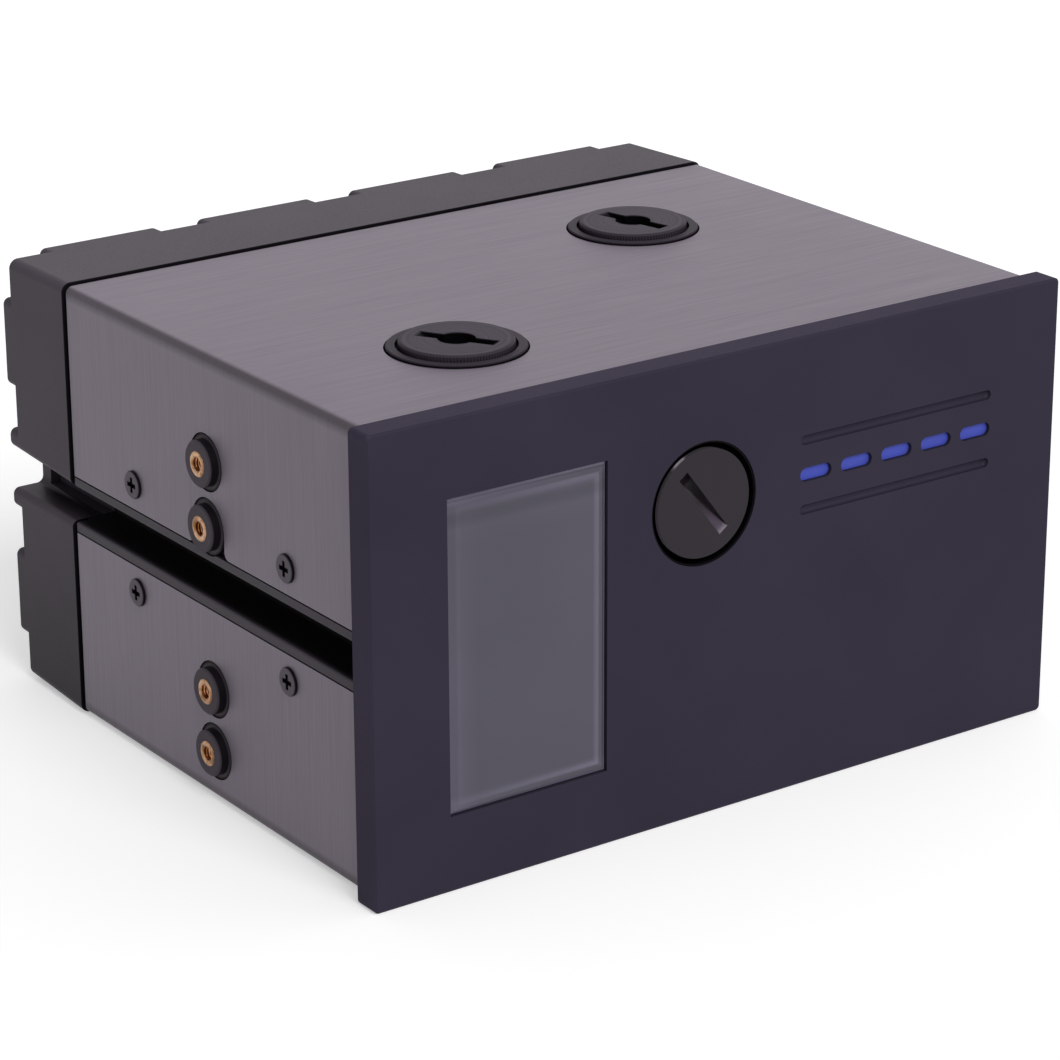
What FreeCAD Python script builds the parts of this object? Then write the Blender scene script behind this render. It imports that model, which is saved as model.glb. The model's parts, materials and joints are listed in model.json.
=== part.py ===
import FreeCAD, Part
import os
import re

import Sketcher

# Water cooling reservoir that fills two stacked 5.25 inch drive bays.
# Millimetres. X runs left to right, Y from the front plate to the rear, Z up.
# The origin is the middle of the outline on the ground, so the front plate faces -Y.
# Depths are first measured from the plate's front face, and each piece's Placement moves them.

# Driving dimensions
SIZES = (
    # Front plate
    ("plate_width", 149.0),
    ("plate_height", 84.5),
    ("plate_thickness", 5.4),
    ("plate_corner", 1.0),
    ("plate_chamfer", 0.4),
    # Covers and the rails between them
    ("body_width", 144.5),
    ("body_height", 83.2),
    ("cover_thickness", 1.2),
    ("cover_gap", 0.1),
    ("cover_end_gap", 0.2),
    ("cover_edge_gap", 0.3),
    ("cover_bend", 1.4),
    ("groove_height", 7.0),
    ("groove_depth", 8.5),
    ("ledge_height", 1.75),
    ("ledge_edge", 0.4),
    ("rail_backing", 2.5),
    # Tank, front bulkhead and their gaskets
    ("tank_length", 90.3),
    ("tank_wall", 4.0),
    ("tank_corner", 3.0),
    ("head_room", 5.9),
    ("front_flange", 6.0),
    ("rear_flange", 8.0),
    ("bulkhead_thickness", 6.0),
    ("front_gasket_thickness", 0.8),
    ("rear_gasket_thickness", 0.9),
    ("rear_gasket_inset", 1.5),
    # Rear cap with a pocket in its rim for every screw head
    ("cap_depth", 24.8),
    ("cap_proud", 0.4),
    ("cap_draft", 1.5),
    ("cap_lip", 0.15),
    ("cap_groove_depth", 6.0),
    ("cap_groove_land", 4.0),
    ("cap_corner", 1.8),
    ("cap_rim", 0.8),
    ("pocket_depth", 3.8),
    ("pocket_width", 8.6),
    ("pocket_reach", 8.3),
    ("pocket_pitch", 34.4),
    ("pocket_rise", 12.1),
    ("pocket_corner", 1.3),
    ("rear_port_bore", 11.8),
    ("rear_port_spread", 34.4),
    ("rear_port_drop", 14.0),
    ("rear_port_chamfer", 0.7),
    # Window
    ("window_width", 32.5),
    ("window_height", 56.7),
    ("window_offset", 42.9),
    ("window_gap", 0.25),
    ("window_lap", 1.2),
    ("pane_recess", 0.2),
    ("pane_bevel_drop", 0.35),
    ("pane_bevel_angle", 78.0),
    ("pane_flange", 3.0),
    ("pane_flange_thickness", 2.0),
    ("pane_gasket", 1.0),
    ("seat_gap", 0.1),
    # Fill opening in the front plate
    ("fill_offset", 6.1),
    ("fill_rise", 16.2),
    ("fill_hole", 22.5),
    ("fill_head", 20.3),
    ("fill_setback", 0.2),
    ("fill_edge", 0.3),
    ("fill_thread", 15.8),
    ("fill_thread_length", 10.0),
    ("fill_collar_flange", 26.0),
    ("fill_collar_lip", 1.5),
    ("fill_collar_body", 22.0),
    ("fill_collar_length", 10.0),
    ("fill_sleeve_bore", 21.8),
    ("fill_sleeve_setback", 0.2),
    ("fill_slot_length", 14.5),
    ("fill_slot_width", 2.1),
    ("fill_slot_depth", 2.2),
    ("fill_slot_angle", -52.5),
    ("washer_thickness", 0.7),
    ("washer_inset", 0.3),
    # Round seals and threads
    ("seal_section", 1.0),
    ("seal_gap", 0.05),
    ("thread_gap", 0.2),
    # Ports in the top
    ("port_offset", -0.9),
    ("port_depth", 52.75),
    ("port_spread_x", 34.2),
    ("port_spread_y", 20.6),
    ("port_boss", 30.0),
    ("port_hole_gap", 0.2),
    ("cover_port_gap", 0.3),
    ("collar_flange", 24.6),
    ("collar_lip", 1.75),
    ("collar_stand", 0.5),
    ("collar_body", 20.0),
    ("collar_length", 9.0),
    ("collar_recess", 0.9),
    ("collar_edge", 0.25),
    ("plug_head", 20.1),
    ("plug_head_gap", 0.6),
    ("plug_stand", 1.5),
    ("plug_edge", 0.3),
    ("plug_thread", 13.2),
    ("plug_thread_length", 9.0),
    ("plug_socket", 6.7),
    ("plug_socket_depth", 5.0),
    ("plug_slot_length", 15.2),
    ("plug_slot_width", 2.8),
    ("plug_slot_depth", 1.8),
    ("left_plug_angle", -57.6),
    ("right_plug_angle", -76.5),
    # Side mounting points
    ("mount_depth", 54.7),
    ("mount_row", 9.85),
    ("row_spacing", 11.84),
    ("bay_pitch", 42.4),
    ("mount_boss", 12.6),
    ("mount_hole", 10.6),
    ("grommet_width", 8.5),
    ("grommet_stand", 1.75),
    ("grommet_edge", 0.3),
    ("grommet_flange", 10.2),
    ("grommet_flange_setback", 0.15),
    ("socket_depth", 6.5),
    ("insert_width", 4.2),
    ("insert_length", 7.0),
    ("insert_bore", 2.5),
    ("insert_gap", 0.02),
    # Fasteners
    ("screw_width", 3.0),
    ("screw_gap", 0.05),
    ("screw_clearance", 0.2),
    ("screw_bite", 3.2),
    ("screw_run_out", 1.0),
    ("front_screw_head", 5.4),
    ("front_screw_head_height", 2.2),
    ("front_screw_spread", 52.0),
    ("front_screw_rise", 24.0),
    ("rear_screw_inset", 5.0),
    ("rear_screw_head", 5.6),
    ("rear_screw_head_height", 2.0),
    ("rear_screw_bite", 6.0),
    ("rear_screw_key", 2.6),
    ("rear_screw_key_depth", 1.2),
    ("cover_screw_head", 4.5),
    ("cover_screw_sink", 0.45),
    ("cover_screw_room", 0.25),
    ("cover_screw_length", 5.5),
    ("cover_screw_boss", 7.0),
    ("cover_screw_spread", 25.65),
    ("cover_screw_rise", 10.3),
    ("cover_screw_cross", 2.9),
    ("cover_screw_cross_width", 0.7),
    ("cover_screw_cross_depth", 0.9),
    # Blue inlay bars between two engraved lines
    ("accent_offset", 36.9),
    ("accent_rise", 16.8),
    ("accent_length", 7.0),
    ("accent_height", 2.6),
    ("accent_pitch", 9.2),
    ("accent_corner", 1.25),
    ("accent_depth", 1.2),
    ("accent_thickness", 0.5),
    ("accent_gap", 0.08),
    ("line_length", 43.8),
    ("line_width", 1.8),
    ("line_depth", 0.9),
    ("line_end_radius", 0.86),
    ("line_floor_radius", 0.75),
    ("line_rise", 6.45),
)
ACCENT_BARS = 5
COSINE_30 = 0.8660254

# Depths from the front face of the plate
BULKHEAD_BACK = "(plate_thickness + bulkhead_thickness)"
TANK_FRONT = f"({BULKHEAD_BACK} + front_gasket_thickness)"
TANK_BACK = f"({TANK_FRONT} + tank_length)"
CAP_FRONT = f"({TANK_BACK} + rear_gasket_thickness)"
CAP_BACK = f"({CAP_FRONT} + cap_depth)"
POCKET_FLOOR = f"({CAP_BACK} - pocket_depth)"

# Half sizes, measured from the middle plane and from mid-height
MID_HEIGHT = "(plate_height / 2)"
HALF_WIDTH = "(body_width / 2)"
HALF_HEIGHT = "(body_height / 2)"
FLANGE_X = f"({HALF_WIDTH} - cover_thickness - cover_gap)"
FLANGE_Z = f"({HALF_HEIGHT} - cover_thickness - cover_gap)"
GROOVE_X = f"({HALF_WIDTH} - groove_depth)"
TANK_Z = f"({FLANGE_Z} - head_room)"
CAVITY_X = f"({GROOVE_X} - tank_wall)"
CAVITY_Z = f"({TANK_Z} - tank_wall)"
LEDGE_LOW = "(groove_height / 2)"
LEDGE_HIGH = f"({LEDGE_LOW} + ledge_height)"
RAIL_TOP = f"({LEDGE_HIGH} + rail_backing)"
TOP_FACE = f"({MID_HEIGHT} + {HALF_HEIGHT})"

# Stations of the fill opening and of the top ports, measured inwards from the outer face
FILL_SEAT = "(plate_thickness + seal_gap)"
FILL_WASHER = f"({FILL_SEAT} + fill_collar_lip)"
FILL_WASHER_FLOOR = f"({FILL_WASHER} + washer_thickness)"
FILL_HEAD_BACK = f"({FILL_SEAT} - seal_section - 2 * seal_gap)"
COLLAR_UNDERSIDE = "(collar_lip - collar_stand)"
PORT_SEAT = f"({COLLAR_UNDERSIDE} + washer_thickness)"
PLUG_HEAD_BACK = "(collar_recess - collar_stand - seal_gap)"
PLUG_SEAL_FLOOR = f"({PLUG_HEAD_BACK} + seal_section + 2 * seal_gap)"

SIGNS = (-1, 1)
ALONG_NORMAL = 1
AGAINST_NORMAL = -1
# A sketch seen from the front has its normal towards the viewer.
TO_REAR = AGAINST_NORMAL
TO_FRONT = ALONG_NORMAL

FACING_UP = FreeCAD.Rotation()
FACING_FRONT = FreeCAD.Rotation(FreeCAD.Vector(1, 0, 0), 90)
FACING_REAR = FreeCAD.Rotation(FreeCAD.Vector(1, 0, 0), -90)
FACING_SIDE = {sign: FreeCAD.Rotation(FreeCAD.Vector(0, 1, 0), sign * 90) for sign in SIGNS}

NEAR = 1e-4

doc = FreeCAD.newDocument("reservoir")
sheet = doc.addObject("Spreadsheet::Sheet", "Sizes")
for row, (alias, size) in enumerate(SIZES, start=1):
    sheet.set(f"A{row}", alias)
    sheet.set(f"B{row}", str(size))
    sheet.setAlias(f"B{row}", alias)
doc.recompute()

pieces = []


def named(formula):
    """Formula of plain size names, written with the sheet's name before each."""
    return re.sub(r"[a-z][a-z_]*", lambda found: f"Sizes.{found.group(0)}", str(formula))


def number(formula):
    """Present value of a formula of sizes."""
    return float(sheet.evalExpression(named(formula)))


def point(place):
    return FreeCAD.Vector(*[number(formula) for formula in place])


# Bodies, sketches and features

def new_body(label):
    body = doc.addObject("PartDesign::Body", label)
    body.Label = label
    return body


def place_body(body, place, rotation=FACING_UP):
    """Binds a body's place; its depth is given from the plate's front face."""
    body.Placement = FreeCAD.Placement(FreeCAD.Vector(), rotation)
    across, depth, height = place
    body.setExpression("Placement.Base.x", named(across))
    body.setExpression("Placement.Base.y", named(f"{depth} - {CAP_BACK} / 2"))
    body.setExpression("Placement.Base.z", named(height))
    pieces.append(body)


def housing_piece(label):
    """Body drawn in the reservoir's own axes, with depths from the plate's front face."""
    body = new_body(label)
    place_body(body, ("0", "0", "0"))
    return body


def origin_feature(body, role):
    return next(item for item in body.Origin.OriginFeatures if item.Role == role)


def new_sketch(body, name, role, offset="0", lift="0"):
    sketch = body.newObject("Sketcher::SketchObject", name)
    sketch.AttachmentSupport = [(origin_feature(body, role), "")]
    sketch.MapMode = "FlatFace"
    sketch.setExpression("AttachmentOffset.Base.y", named(lift))
    sketch.setExpression("AttachmentOffset.Base.z", named(offset))
    return sketch


def front_sketch(body, name, depth):
    """Sketch seen from the front: x to the right, y up from mid-height."""
    return new_sketch(body, name, "XZ_Plane", f"-({depth})", MID_HEIGHT)


def side_sketch(body, name, reach):
    """Sketch seen from the right: x is the depth, y up from mid-height."""
    return new_sketch(body, name, "YZ_Plane", reach, MID_HEIGHT)


def bind(sketch, constraints, formulas):
    """Adds dimensional constraints and ties each to its formula."""
    for index, formula in zip(sketch.addConstraint(constraints), formulas):
        sketch.setExpression(f"Constraints[{index}]", named(formula))


def draw_outline(sketch, corners):
    """Closed outline of straight lines through corners given as formulas."""
    first = sketch.GeometryCount
    count = len(corners)
    places = [FreeCAD.Vector(number(x), number(y), 0) for x, y in corners]
    lines = [Part.LineSegment(places[i], places[(i + 1) % count]) for i in range(count)]
    sketch.addGeometry(lines)
    joined = [
        Sketcher.Constraint("Coincident", first + i, 2, first + (i + 1) % count, 1)
        for i in range(count)
    ]
    sketch.addConstraint(joined)
    constraints = []
    formulas = []
    for i, corner in enumerate(corners):
        constraints.append(Sketcher.Constraint("DistanceX", -1, 1, first + i, 1, places[i].x))
        constraints.append(Sketcher.Constraint("DistanceY", -1, 1, first + i, 1, places[i].y))
        formulas.extend(corner)
    bind(sketch, constraints, formulas)


def draw_rectangle(sketch, x, y, width, height):
    left, right = f"{x} - ({width}) / 2", f"{x} + ({width}) / 2"
    low, high = f"{y} - ({height}) / 2", f"{y} + ({height}) / 2"
    draw_outline(sketch, [(left, low), (right, low), (right, high), (left, high)])


def draw_circle(sketch, x, y, diameter):
    centre = FreeCAD.Vector(number(x), number(y), 0)
    index = sketch.addGeometry(Part.Circle(centre, FreeCAD.Vector(0, 0, 1), number(diameter) / 2))
    constraints = [
        Sketcher.Constraint("DistanceX", -1, 1, index, 3, centre.x),
        Sketcher.Constraint("DistanceY", -1, 1, index, 3, centre.y),
        Sketcher.Constraint("Diameter", index, number(diameter)),
    ]
    bind(sketch, constraints, (x, y, diameter))


def add(body, sketch, length, direction):
    made = body.newObject("PartDesign::Pad", f"{sketch.Name}_pad")
    made.Profile = sketch
    made.setExpression("Length", named(length))
    made.Reversed = direction == AGAINST_NORMAL
    return made


def cut(body, sketch, length, direction):
    made = body.newObject("PartDesign::Pocket", f"{sketch.Name}_cut")
    made.Profile = sketch
    made.setExpression("Length", named(length))
    made.Reversed = direction == ALONG_NORMAL
    return made


def cut_both_ways(body, sketch, length):
    """Cut of this whole length, half of it on each side of the sketch."""
    made = cut(body, sketch, length, AGAINST_NORMAL)
    made.SideType = "Symmetric"
    return made


def mirror_sides(body, features, name):
    """Repeats features of the right side on the left side."""
    made = body.newObject("PartDesign::Mirrored", name)
    made.Originals = features
    made.MirrorPlane = (origin_feature(body, "YZ_Plane"), [""])
    body.Tip = made
    return made


def dress_edges(body, kind, size_name, size, chosen):
    """Fillet or chamfer on the edges of the body so far that are chosen."""
    doc.recompute()
    base = body.Tip
    names = [f"Edge{i}" for i, edge in enumerate(base.Shape.Edges, start=1) if chosen(edge)]
    made = body.newObject(f"PartDesign::{kind}", f"{body.Name}_{kind.lower()}")
    made.Base = (base, names)
    made.setExpression(size_name, named(size))
    return made


def fillet(body, radius, chosen):
    return dress_edges(body, "Fillet", "Radius", radius, chosen)


def chamfer(body, size, chosen):
    return dress_edges(body, "Chamfer", "Size", size, chosen)


def same(value, formula):
    return abs(value - number(formula)) < NEAR


def is_straight(edge):
    return edge.Curve.TypeId == "Part::GeomLine"


def runs_back(edge):
    """True for a straight edge that runs from front to rear."""
    return is_straight(edge) and abs(abs(edge.tangentAt(edge.FirstParameter).y) - 1) < NEAR


def at_depth(edge, depth):
    return all(same(corner.Y, depth) for corner in edge.Vertexes)


def runs_between(edge, front, back):
    """True for an edge that starts at one depth and ends at another."""
    depths = sorted(corner.Y for corner in edge.Vertexes)
    return same(depths[0], front) and same(depths[-1], back)


def turned(label, outline, place, rotation):
    """Piece turned about its own Z axis from (radius, height) corners, and put in its place."""
    body = new_body(label)
    sketch = new_sketch(body, f"{label}_profile", "XZ_Plane")
    draw_outline(sketch, outline)
    made = body.newObject("PartDesign::Revolution", f"{label}_turn")
    made.Profile = sketch
    made.ReferenceAxis = (sketch, ["V_Axis"])
    made.Angle = 360
    if place is not None:
        place_body(body, place, rotation)
    return body


def ring(label, inner, outer, low, high, place, rotation):
    """Flat washer between two radii and two heights."""
    return turned(label, [(inner, low), (outer, low), (outer, high), (inner, high)], place, rotation)


def round_seal(label, radius, place, rotation):
    """O-ring about an axis; the radius runs to the middle of its section."""
    made = doc.addObject("Part::Torus", label)
    made.Label = label
    made.setExpression("Radius1", named(radius))
    made.setExpression("Radius2", named("seal_section / 2"))
    place_body(made, place, rotation)


def disc_cut_slot(body, name, top, length, width, depth, angle):
    """Driver slot left by a round cutter: deepest on the axis, running out at both ends."""
    cutter = f"((({length}) * ({length}) / 4 + ({depth}) * ({depth})) / (2 * ({depth})))"
    sketch = new_sketch(body, name, "XZ_Plane")
    sketch.AttachmentOffset = FreeCAD.Placement(
        FreeCAD.Vector(), FreeCAD.Rotation(FreeCAD.Vector(0, 1, 0), 1)
    )
    sketch.setExpression("AttachmentOffset.Rotation.Angle", named(angle))
    draw_circle(sketch, "0", f"({top}) + {cutter} - ({depth})", f"2 * {cutter}")
    cut_both_ways(body, sketch, width)


def group(label, master, places, rotations):
    """One node of separate, identical solids."""
    doc.recompute()
    copies = []
    for place, rotation in zip(places, rotations):
        copy = master.Shape.copy()
        copy.Placement = FreeCAD.Placement(point(place), rotation)
        copies.append(copy)
    made = doc.addObject("Part::Feature", label)
    made.Label = label
    made.Shape = Part.makeCompound(copies)
    made.Placement = FreeCAD.Placement(point(("0", f"-{CAP_BACK} / 2", "0")), FACING_UP)
    pieces.append(made)


# Outlines and positions that several pieces share

def both_sides(right):
    """Whole outline from its right half, listed from bottom to top."""
    return right + [(f"-({x})", z) for x, z in reversed(right)]


def below_and_above(upper):
    """Right half of an outline from the part above mid-height."""
    return [(x, f"-({z})") for x, z in reversed(upper)] + upper


def end_outline():
    """Flange behind the covers, with the rail grooves and the ledges that frame them."""
    upper = [
        (GROOVE_X, LEDGE_LOW),
        (HALF_WIDTH, LEDGE_LOW),
        (HALF_WIDTH, LEDGE_HIGH),
        (FLANGE_X, LEDGE_HIGH),
        (FLANGE_X, FLANGE_Z),
    ]
    return both_sides(below_and_above(upper))


def grooved_outline(groove_x, half_width, half_height):
    """Rectangle with the rail grooves in its sides."""
    upper = [(groove_x, LEDGE_LOW), (half_width, LEDGE_LOW), (half_width, half_height)]
    return both_sides(below_and_above(upper))


def four_ways(x, z):
    return [(f"{sx} * ({x})", f"{sz} * ({z})") for sx in SIGNS for sz in SIGNS]


def is_corner(edge, x, z):
    """True for an edge that runs back at this distance from the middle plane and mid-height."""
    corner = edge.Vertexes[0]
    return runs_back(edge) and same(abs(corner.X), x) and same(abs(corner.Z - number(MID_HEIGHT)), z)


def round_flange_corners(body):
    """Lets the corners sit inside the folds of the covers."""
    fillet(body, "cover_bend - cover_thickness", lambda edge: is_corner(edge, FLANGE_X, FLANGE_Z))


def round_ledge_edges(body):
    """Takes the sharp edge off the ledges above and below the rail grooves."""
    fillet(body, "ledge_edge", lambda edge: is_corner(edge, HALF_WIDTH, LEDGE_LOW))


def up_and_down(x, z):
    return [(x, f"{sz} * ({z})") for sz in SIGNS]


FRONT_SCREW_Z = f"({FLANGE_Z} - head_room / 2)"
FRONT_SCREW_X = f"(({GROOVE_X} + {FLANGE_X}) / 2)"
FRONT_SCREWS = (
    up_and_down("0", FRONT_SCREW_Z)
    + four_ways("front_screw_spread", FRONT_SCREW_Z)
    + four_ways(FRONT_SCREW_X, "front_screw_rise")
)

RIM_X = f"({HALF_WIDTH} - rear_screw_inset)"
RIM_Z = f"({HALF_HEIGHT} - rear_screw_inset)"
RIM_SCREWS = (
    up_and_down("0", RIM_Z)
    + four_ways("pocket_pitch", RIM_Z)
    + four_ways(RIM_X, RIM_Z)
    + four_ways(RIM_X, "pocket_rise")
)

COVER_SCREWS = [
    (f"mount_depth + {sy} * cover_screw_spread", f"{sz} * cover_screw_rise")
    for sy in SIGNS
    for sz in SIGNS
]
MOUNT_ROWS = [
    f"(mount_row + {row} * row_spacing + {bay} * bay_pitch - {MID_HEIGHT})"
    for bay in (0, 1)
    for row in (0, 1)
]

PORTS = {
    "left": ("port_offset - port_spread_x", "port_depth - port_spread_y", "left_plug_angle"),
    "right": ("port_offset + port_spread_x", "port_depth + port_spread_y", "right_plug_angle"),
}

WINDOW_X = "(-window_offset)"
FILL_X = "(-fill_offset)"
FILL_PLACE = (FILL_X, "0", f"{MID_HEIGHT} + fill_rise")
CLEAR_HOLE = "(screw_width + 2 * screw_clearance)"
THREAD_HOLE = "(screw_width + 2 * screw_gap)"


# Front plate with its inlay

def accent_places():
    middle = (ACCENT_BARS - 1) / 2
    return [f"(accent_offset + {i - middle} * accent_pitch)" for i in range(ACCENT_BARS)]


def make_front_plate():
    body = housing_piece("front_plate")
    outline = front_sketch(body, "plate_outline", "0")
    draw_rectangle(outline, "0", "0", "plate_width", "plate_height")
    add(body, outline, "plate_thickness", TO_REAR)
    fillet(body, "plate_corner", runs_back)
    chamfer(body, "plate_chamfer", lambda edge: at_depth(edge, "0"))

    window = front_sketch(body, "plate_window", "0")
    draw_window(window, "0")
    draw_circle(window, FILL_X, "fill_rise", "fill_hole")
    cut(body, window, "plate_thickness", TO_REAR)

    lines = front_sketch(body, "plate_lines", "0")
    for side in SIGNS:
        height = f"accent_rise + {side} * line_rise"
        draw_rectangle(lines, "accent_offset", height, "line_length", "line_width")
    cut(body, lines, "line_depth", TO_REAR)
    fillet(body, "line_end_radius", lambda edge: runs_back(edge) and same(edge.Length, "line_depth"))
    fillet(body, "line_floor_radius", lambda edge: at_depth(edge, "line_depth"))

    bars = front_sketch(body, "plate_bars", "0")
    for place in accent_places():
        draw_rectangle(bars, place, "accent_rise", "accent_length", "accent_height")
    cut(body, bars, "accent_depth", TO_REAR)
    fillet(body, "accent_corner", lambda edge: runs_back(edge) and same(edge.Length, "accent_depth"))

    threads = front_sketch(body, "plate_threads", "plate_thickness")
    for x, z in FRONT_SCREWS:
        draw_circle(threads, x, z, THREAD_HOLE)
    cut(body, threads, "screw_bite + screw_run_out", TO_FRONT)


def make_accent_bars():
    bar = new_body("accent_bar")
    sketch = new_sketch(bar, "accent_bar_outline", "XY_Plane")
    length, height = "accent_length - 2 * accent_gap", "accent_height - 2 * accent_gap"
    draw_rectangle(sketch, "0", "0", length, height)
    add(bar, sketch, "accent_thickness", ALONG_NORMAL)
    fillet(bar, "accent_corner - accent_gap", lambda edge: same(edge.Length, "accent_thickness"))
    places = [(place, "accent_depth", f"{MID_HEIGHT} + accent_rise") for place in accent_places()]
    group("accent_bars", bar, places, [FACING_FRONT] * ACCENT_BARS)


# Window

def draw_window(sketch, margin):
    """Rectangle round the window's centre, this much larger on each side than the cut-out."""
    width, height = f"window_width + 2 * ({margin})", f"window_height + 2 * ({margin})"
    draw_rectangle(sketch, WINDOW_X, "0", width, height)


def make_window():
    pane = housing_piece("window_pane")
    flange = front_sketch(pane, "pane_flange_outline", "plate_thickness")
    draw_window(flange, "pane_flange")
    add(pane, flange, "pane_flange_thickness", TO_REAR)
    step = front_sketch(pane, "pane_step", "plate_thickness")
    draw_window(step, "-window_gap")
    add(pane, step, "plate_thickness - pane_recess - pane_bevel_drop", TO_FRONT)
    bevel = front_sketch(pane, "pane_bevel_outline", "pane_recess + pane_bevel_drop")
    draw_window(bevel, "-window_gap")
    bevelled = add(pane, bevel, "pane_bevel_drop", TO_FRONT)
    bevelled.setExpression("TaperAngle", named("-pane_bevel_angle"))

    gasket = housing_piece("window_gasket")
    outline = front_sketch(gasket, "window_gasket_outline", "plate_thickness + pane_flange_thickness")
    draw_window(outline, "pane_flange")
    draw_window(outline, "-window_lap")
    add(gasket, outline, "pane_gasket", TO_REAR)


# Bulkhead and gaskets

def make_bulkhead():
    body = housing_piece("front_bulkhead")
    outline = front_sketch(body, "bulkhead_outline", "plate_thickness")
    draw_outline(outline, end_outline())
    add(body, outline, "bulkhead_thickness", TO_REAR)
    round_flange_corners(body)
    round_ledge_edges(body)

    seat = front_sketch(body, "bulkhead_seat", "plate_thickness")
    draw_window(seat, "pane_flange + seat_gap")
    cut(body, seat, "pane_flange_thickness + pane_gasket", TO_REAR)

    opening = front_sketch(body, "bulkhead_opening", "plate_thickness")
    draw_window(opening, "-window_lap")
    draw_circle(opening, FILL_X, "fill_rise", "fill_collar_body + 2 * seat_gap")
    for x, z in FRONT_SCREWS:
        draw_circle(opening, x, z, CLEAR_HOLE)
    cut(body, opening, "bulkhead_thickness", TO_REAR)

    recess = front_sketch(body, "bulkhead_recess", "plate_thickness")
    draw_circle(recess, FILL_X, "fill_rise", "fill_collar_flange + 2 * seat_gap")
    cut(body, recess, f"{FILL_WASHER_FLOOR} - plate_thickness", TO_REAR)


def make_gasket(label, depth, corners, thickness, screws):
    """Flat gasket between two flanges, open over the tank's inside."""
    body = housing_piece(label)
    outline = front_sketch(body, f"{label}_outline", depth)
    draw_outline(outline, corners)
    draw_rectangle(outline, "0", "0", f"2 * {CAVITY_X}", f"2 * {CAVITY_Z}")
    for x, z in screws:
        draw_circle(outline, x, z, CLEAR_HOLE)
    add(body, outline, thickness, TO_REAR)
    return body


def make_gaskets():
    front = make_gasket(
        "front_gasket", BULKHEAD_BACK, end_outline(), "front_gasket_thickness", FRONT_SCREWS
    )
    round_flange_corners(front)
    round_ledge_edges(front)
    inset_x, inset_z = f"({FLANGE_X} - rear_gasket_inset)", f"({FLANGE_Z} - rear_gasket_inset)"
    corners = grooved_outline(GROOVE_X, inset_x, inset_z)
    make_gasket("rear_gasket", TANK_BACK, corners, "rear_gasket_thickness", RIM_SCREWS)


# Tank

def add_tank_rails(body):
    """Stepped rails above and below the right groove; the outer step is flush with the covers."""
    rails = front_sketch(body, "tank_rails", TANK_FRONT)
    root = f"({GROOVE_X} - tank_wall / 2)"
    for side in SIGNS:
        rail = [
            (root, LEDGE_LOW),
            (HALF_WIDTH, LEDGE_LOW),
            (HALF_WIDTH, LEDGE_HIGH),
            (FLANGE_X, LEDGE_HIGH),
            (FLANGE_X, RAIL_TOP),
            (root, RAIL_TOP),
        ]
        draw_outline(rails, [(x, f"{side} * ({z})") for x, z in rail])
    return add(body, rails, "tank_length", TO_REAR)


def add_side_bosses(body):
    """Bosses on the right side for the grommets and the cover screws."""
    root = f"({GROOVE_X} - tank_wall * 3 / 4)"
    made = []
    for name, rows in (("outer", MOUNT_ROWS[0::2]), ("inner", MOUNT_ROWS[1::2])):
        bosses = side_sketch(body, f"tank_{name}_bosses", root)
        for z in rows:
            draw_circle(bosses, "mount_depth", z, "mount_boss")
        made.append(add(body, bosses, f"{FLANGE_X} - {root}", ALONG_NORMAL))
    bosses = side_sketch(body, "tank_screw_bosses", root)
    for y, z in COVER_SCREWS:
        draw_circle(bosses, y, z, "cover_screw_boss")
    made.append(add(body, bosses, f"{FLANGE_X} - {root}", ALONG_NORMAL))
    return made


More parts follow.
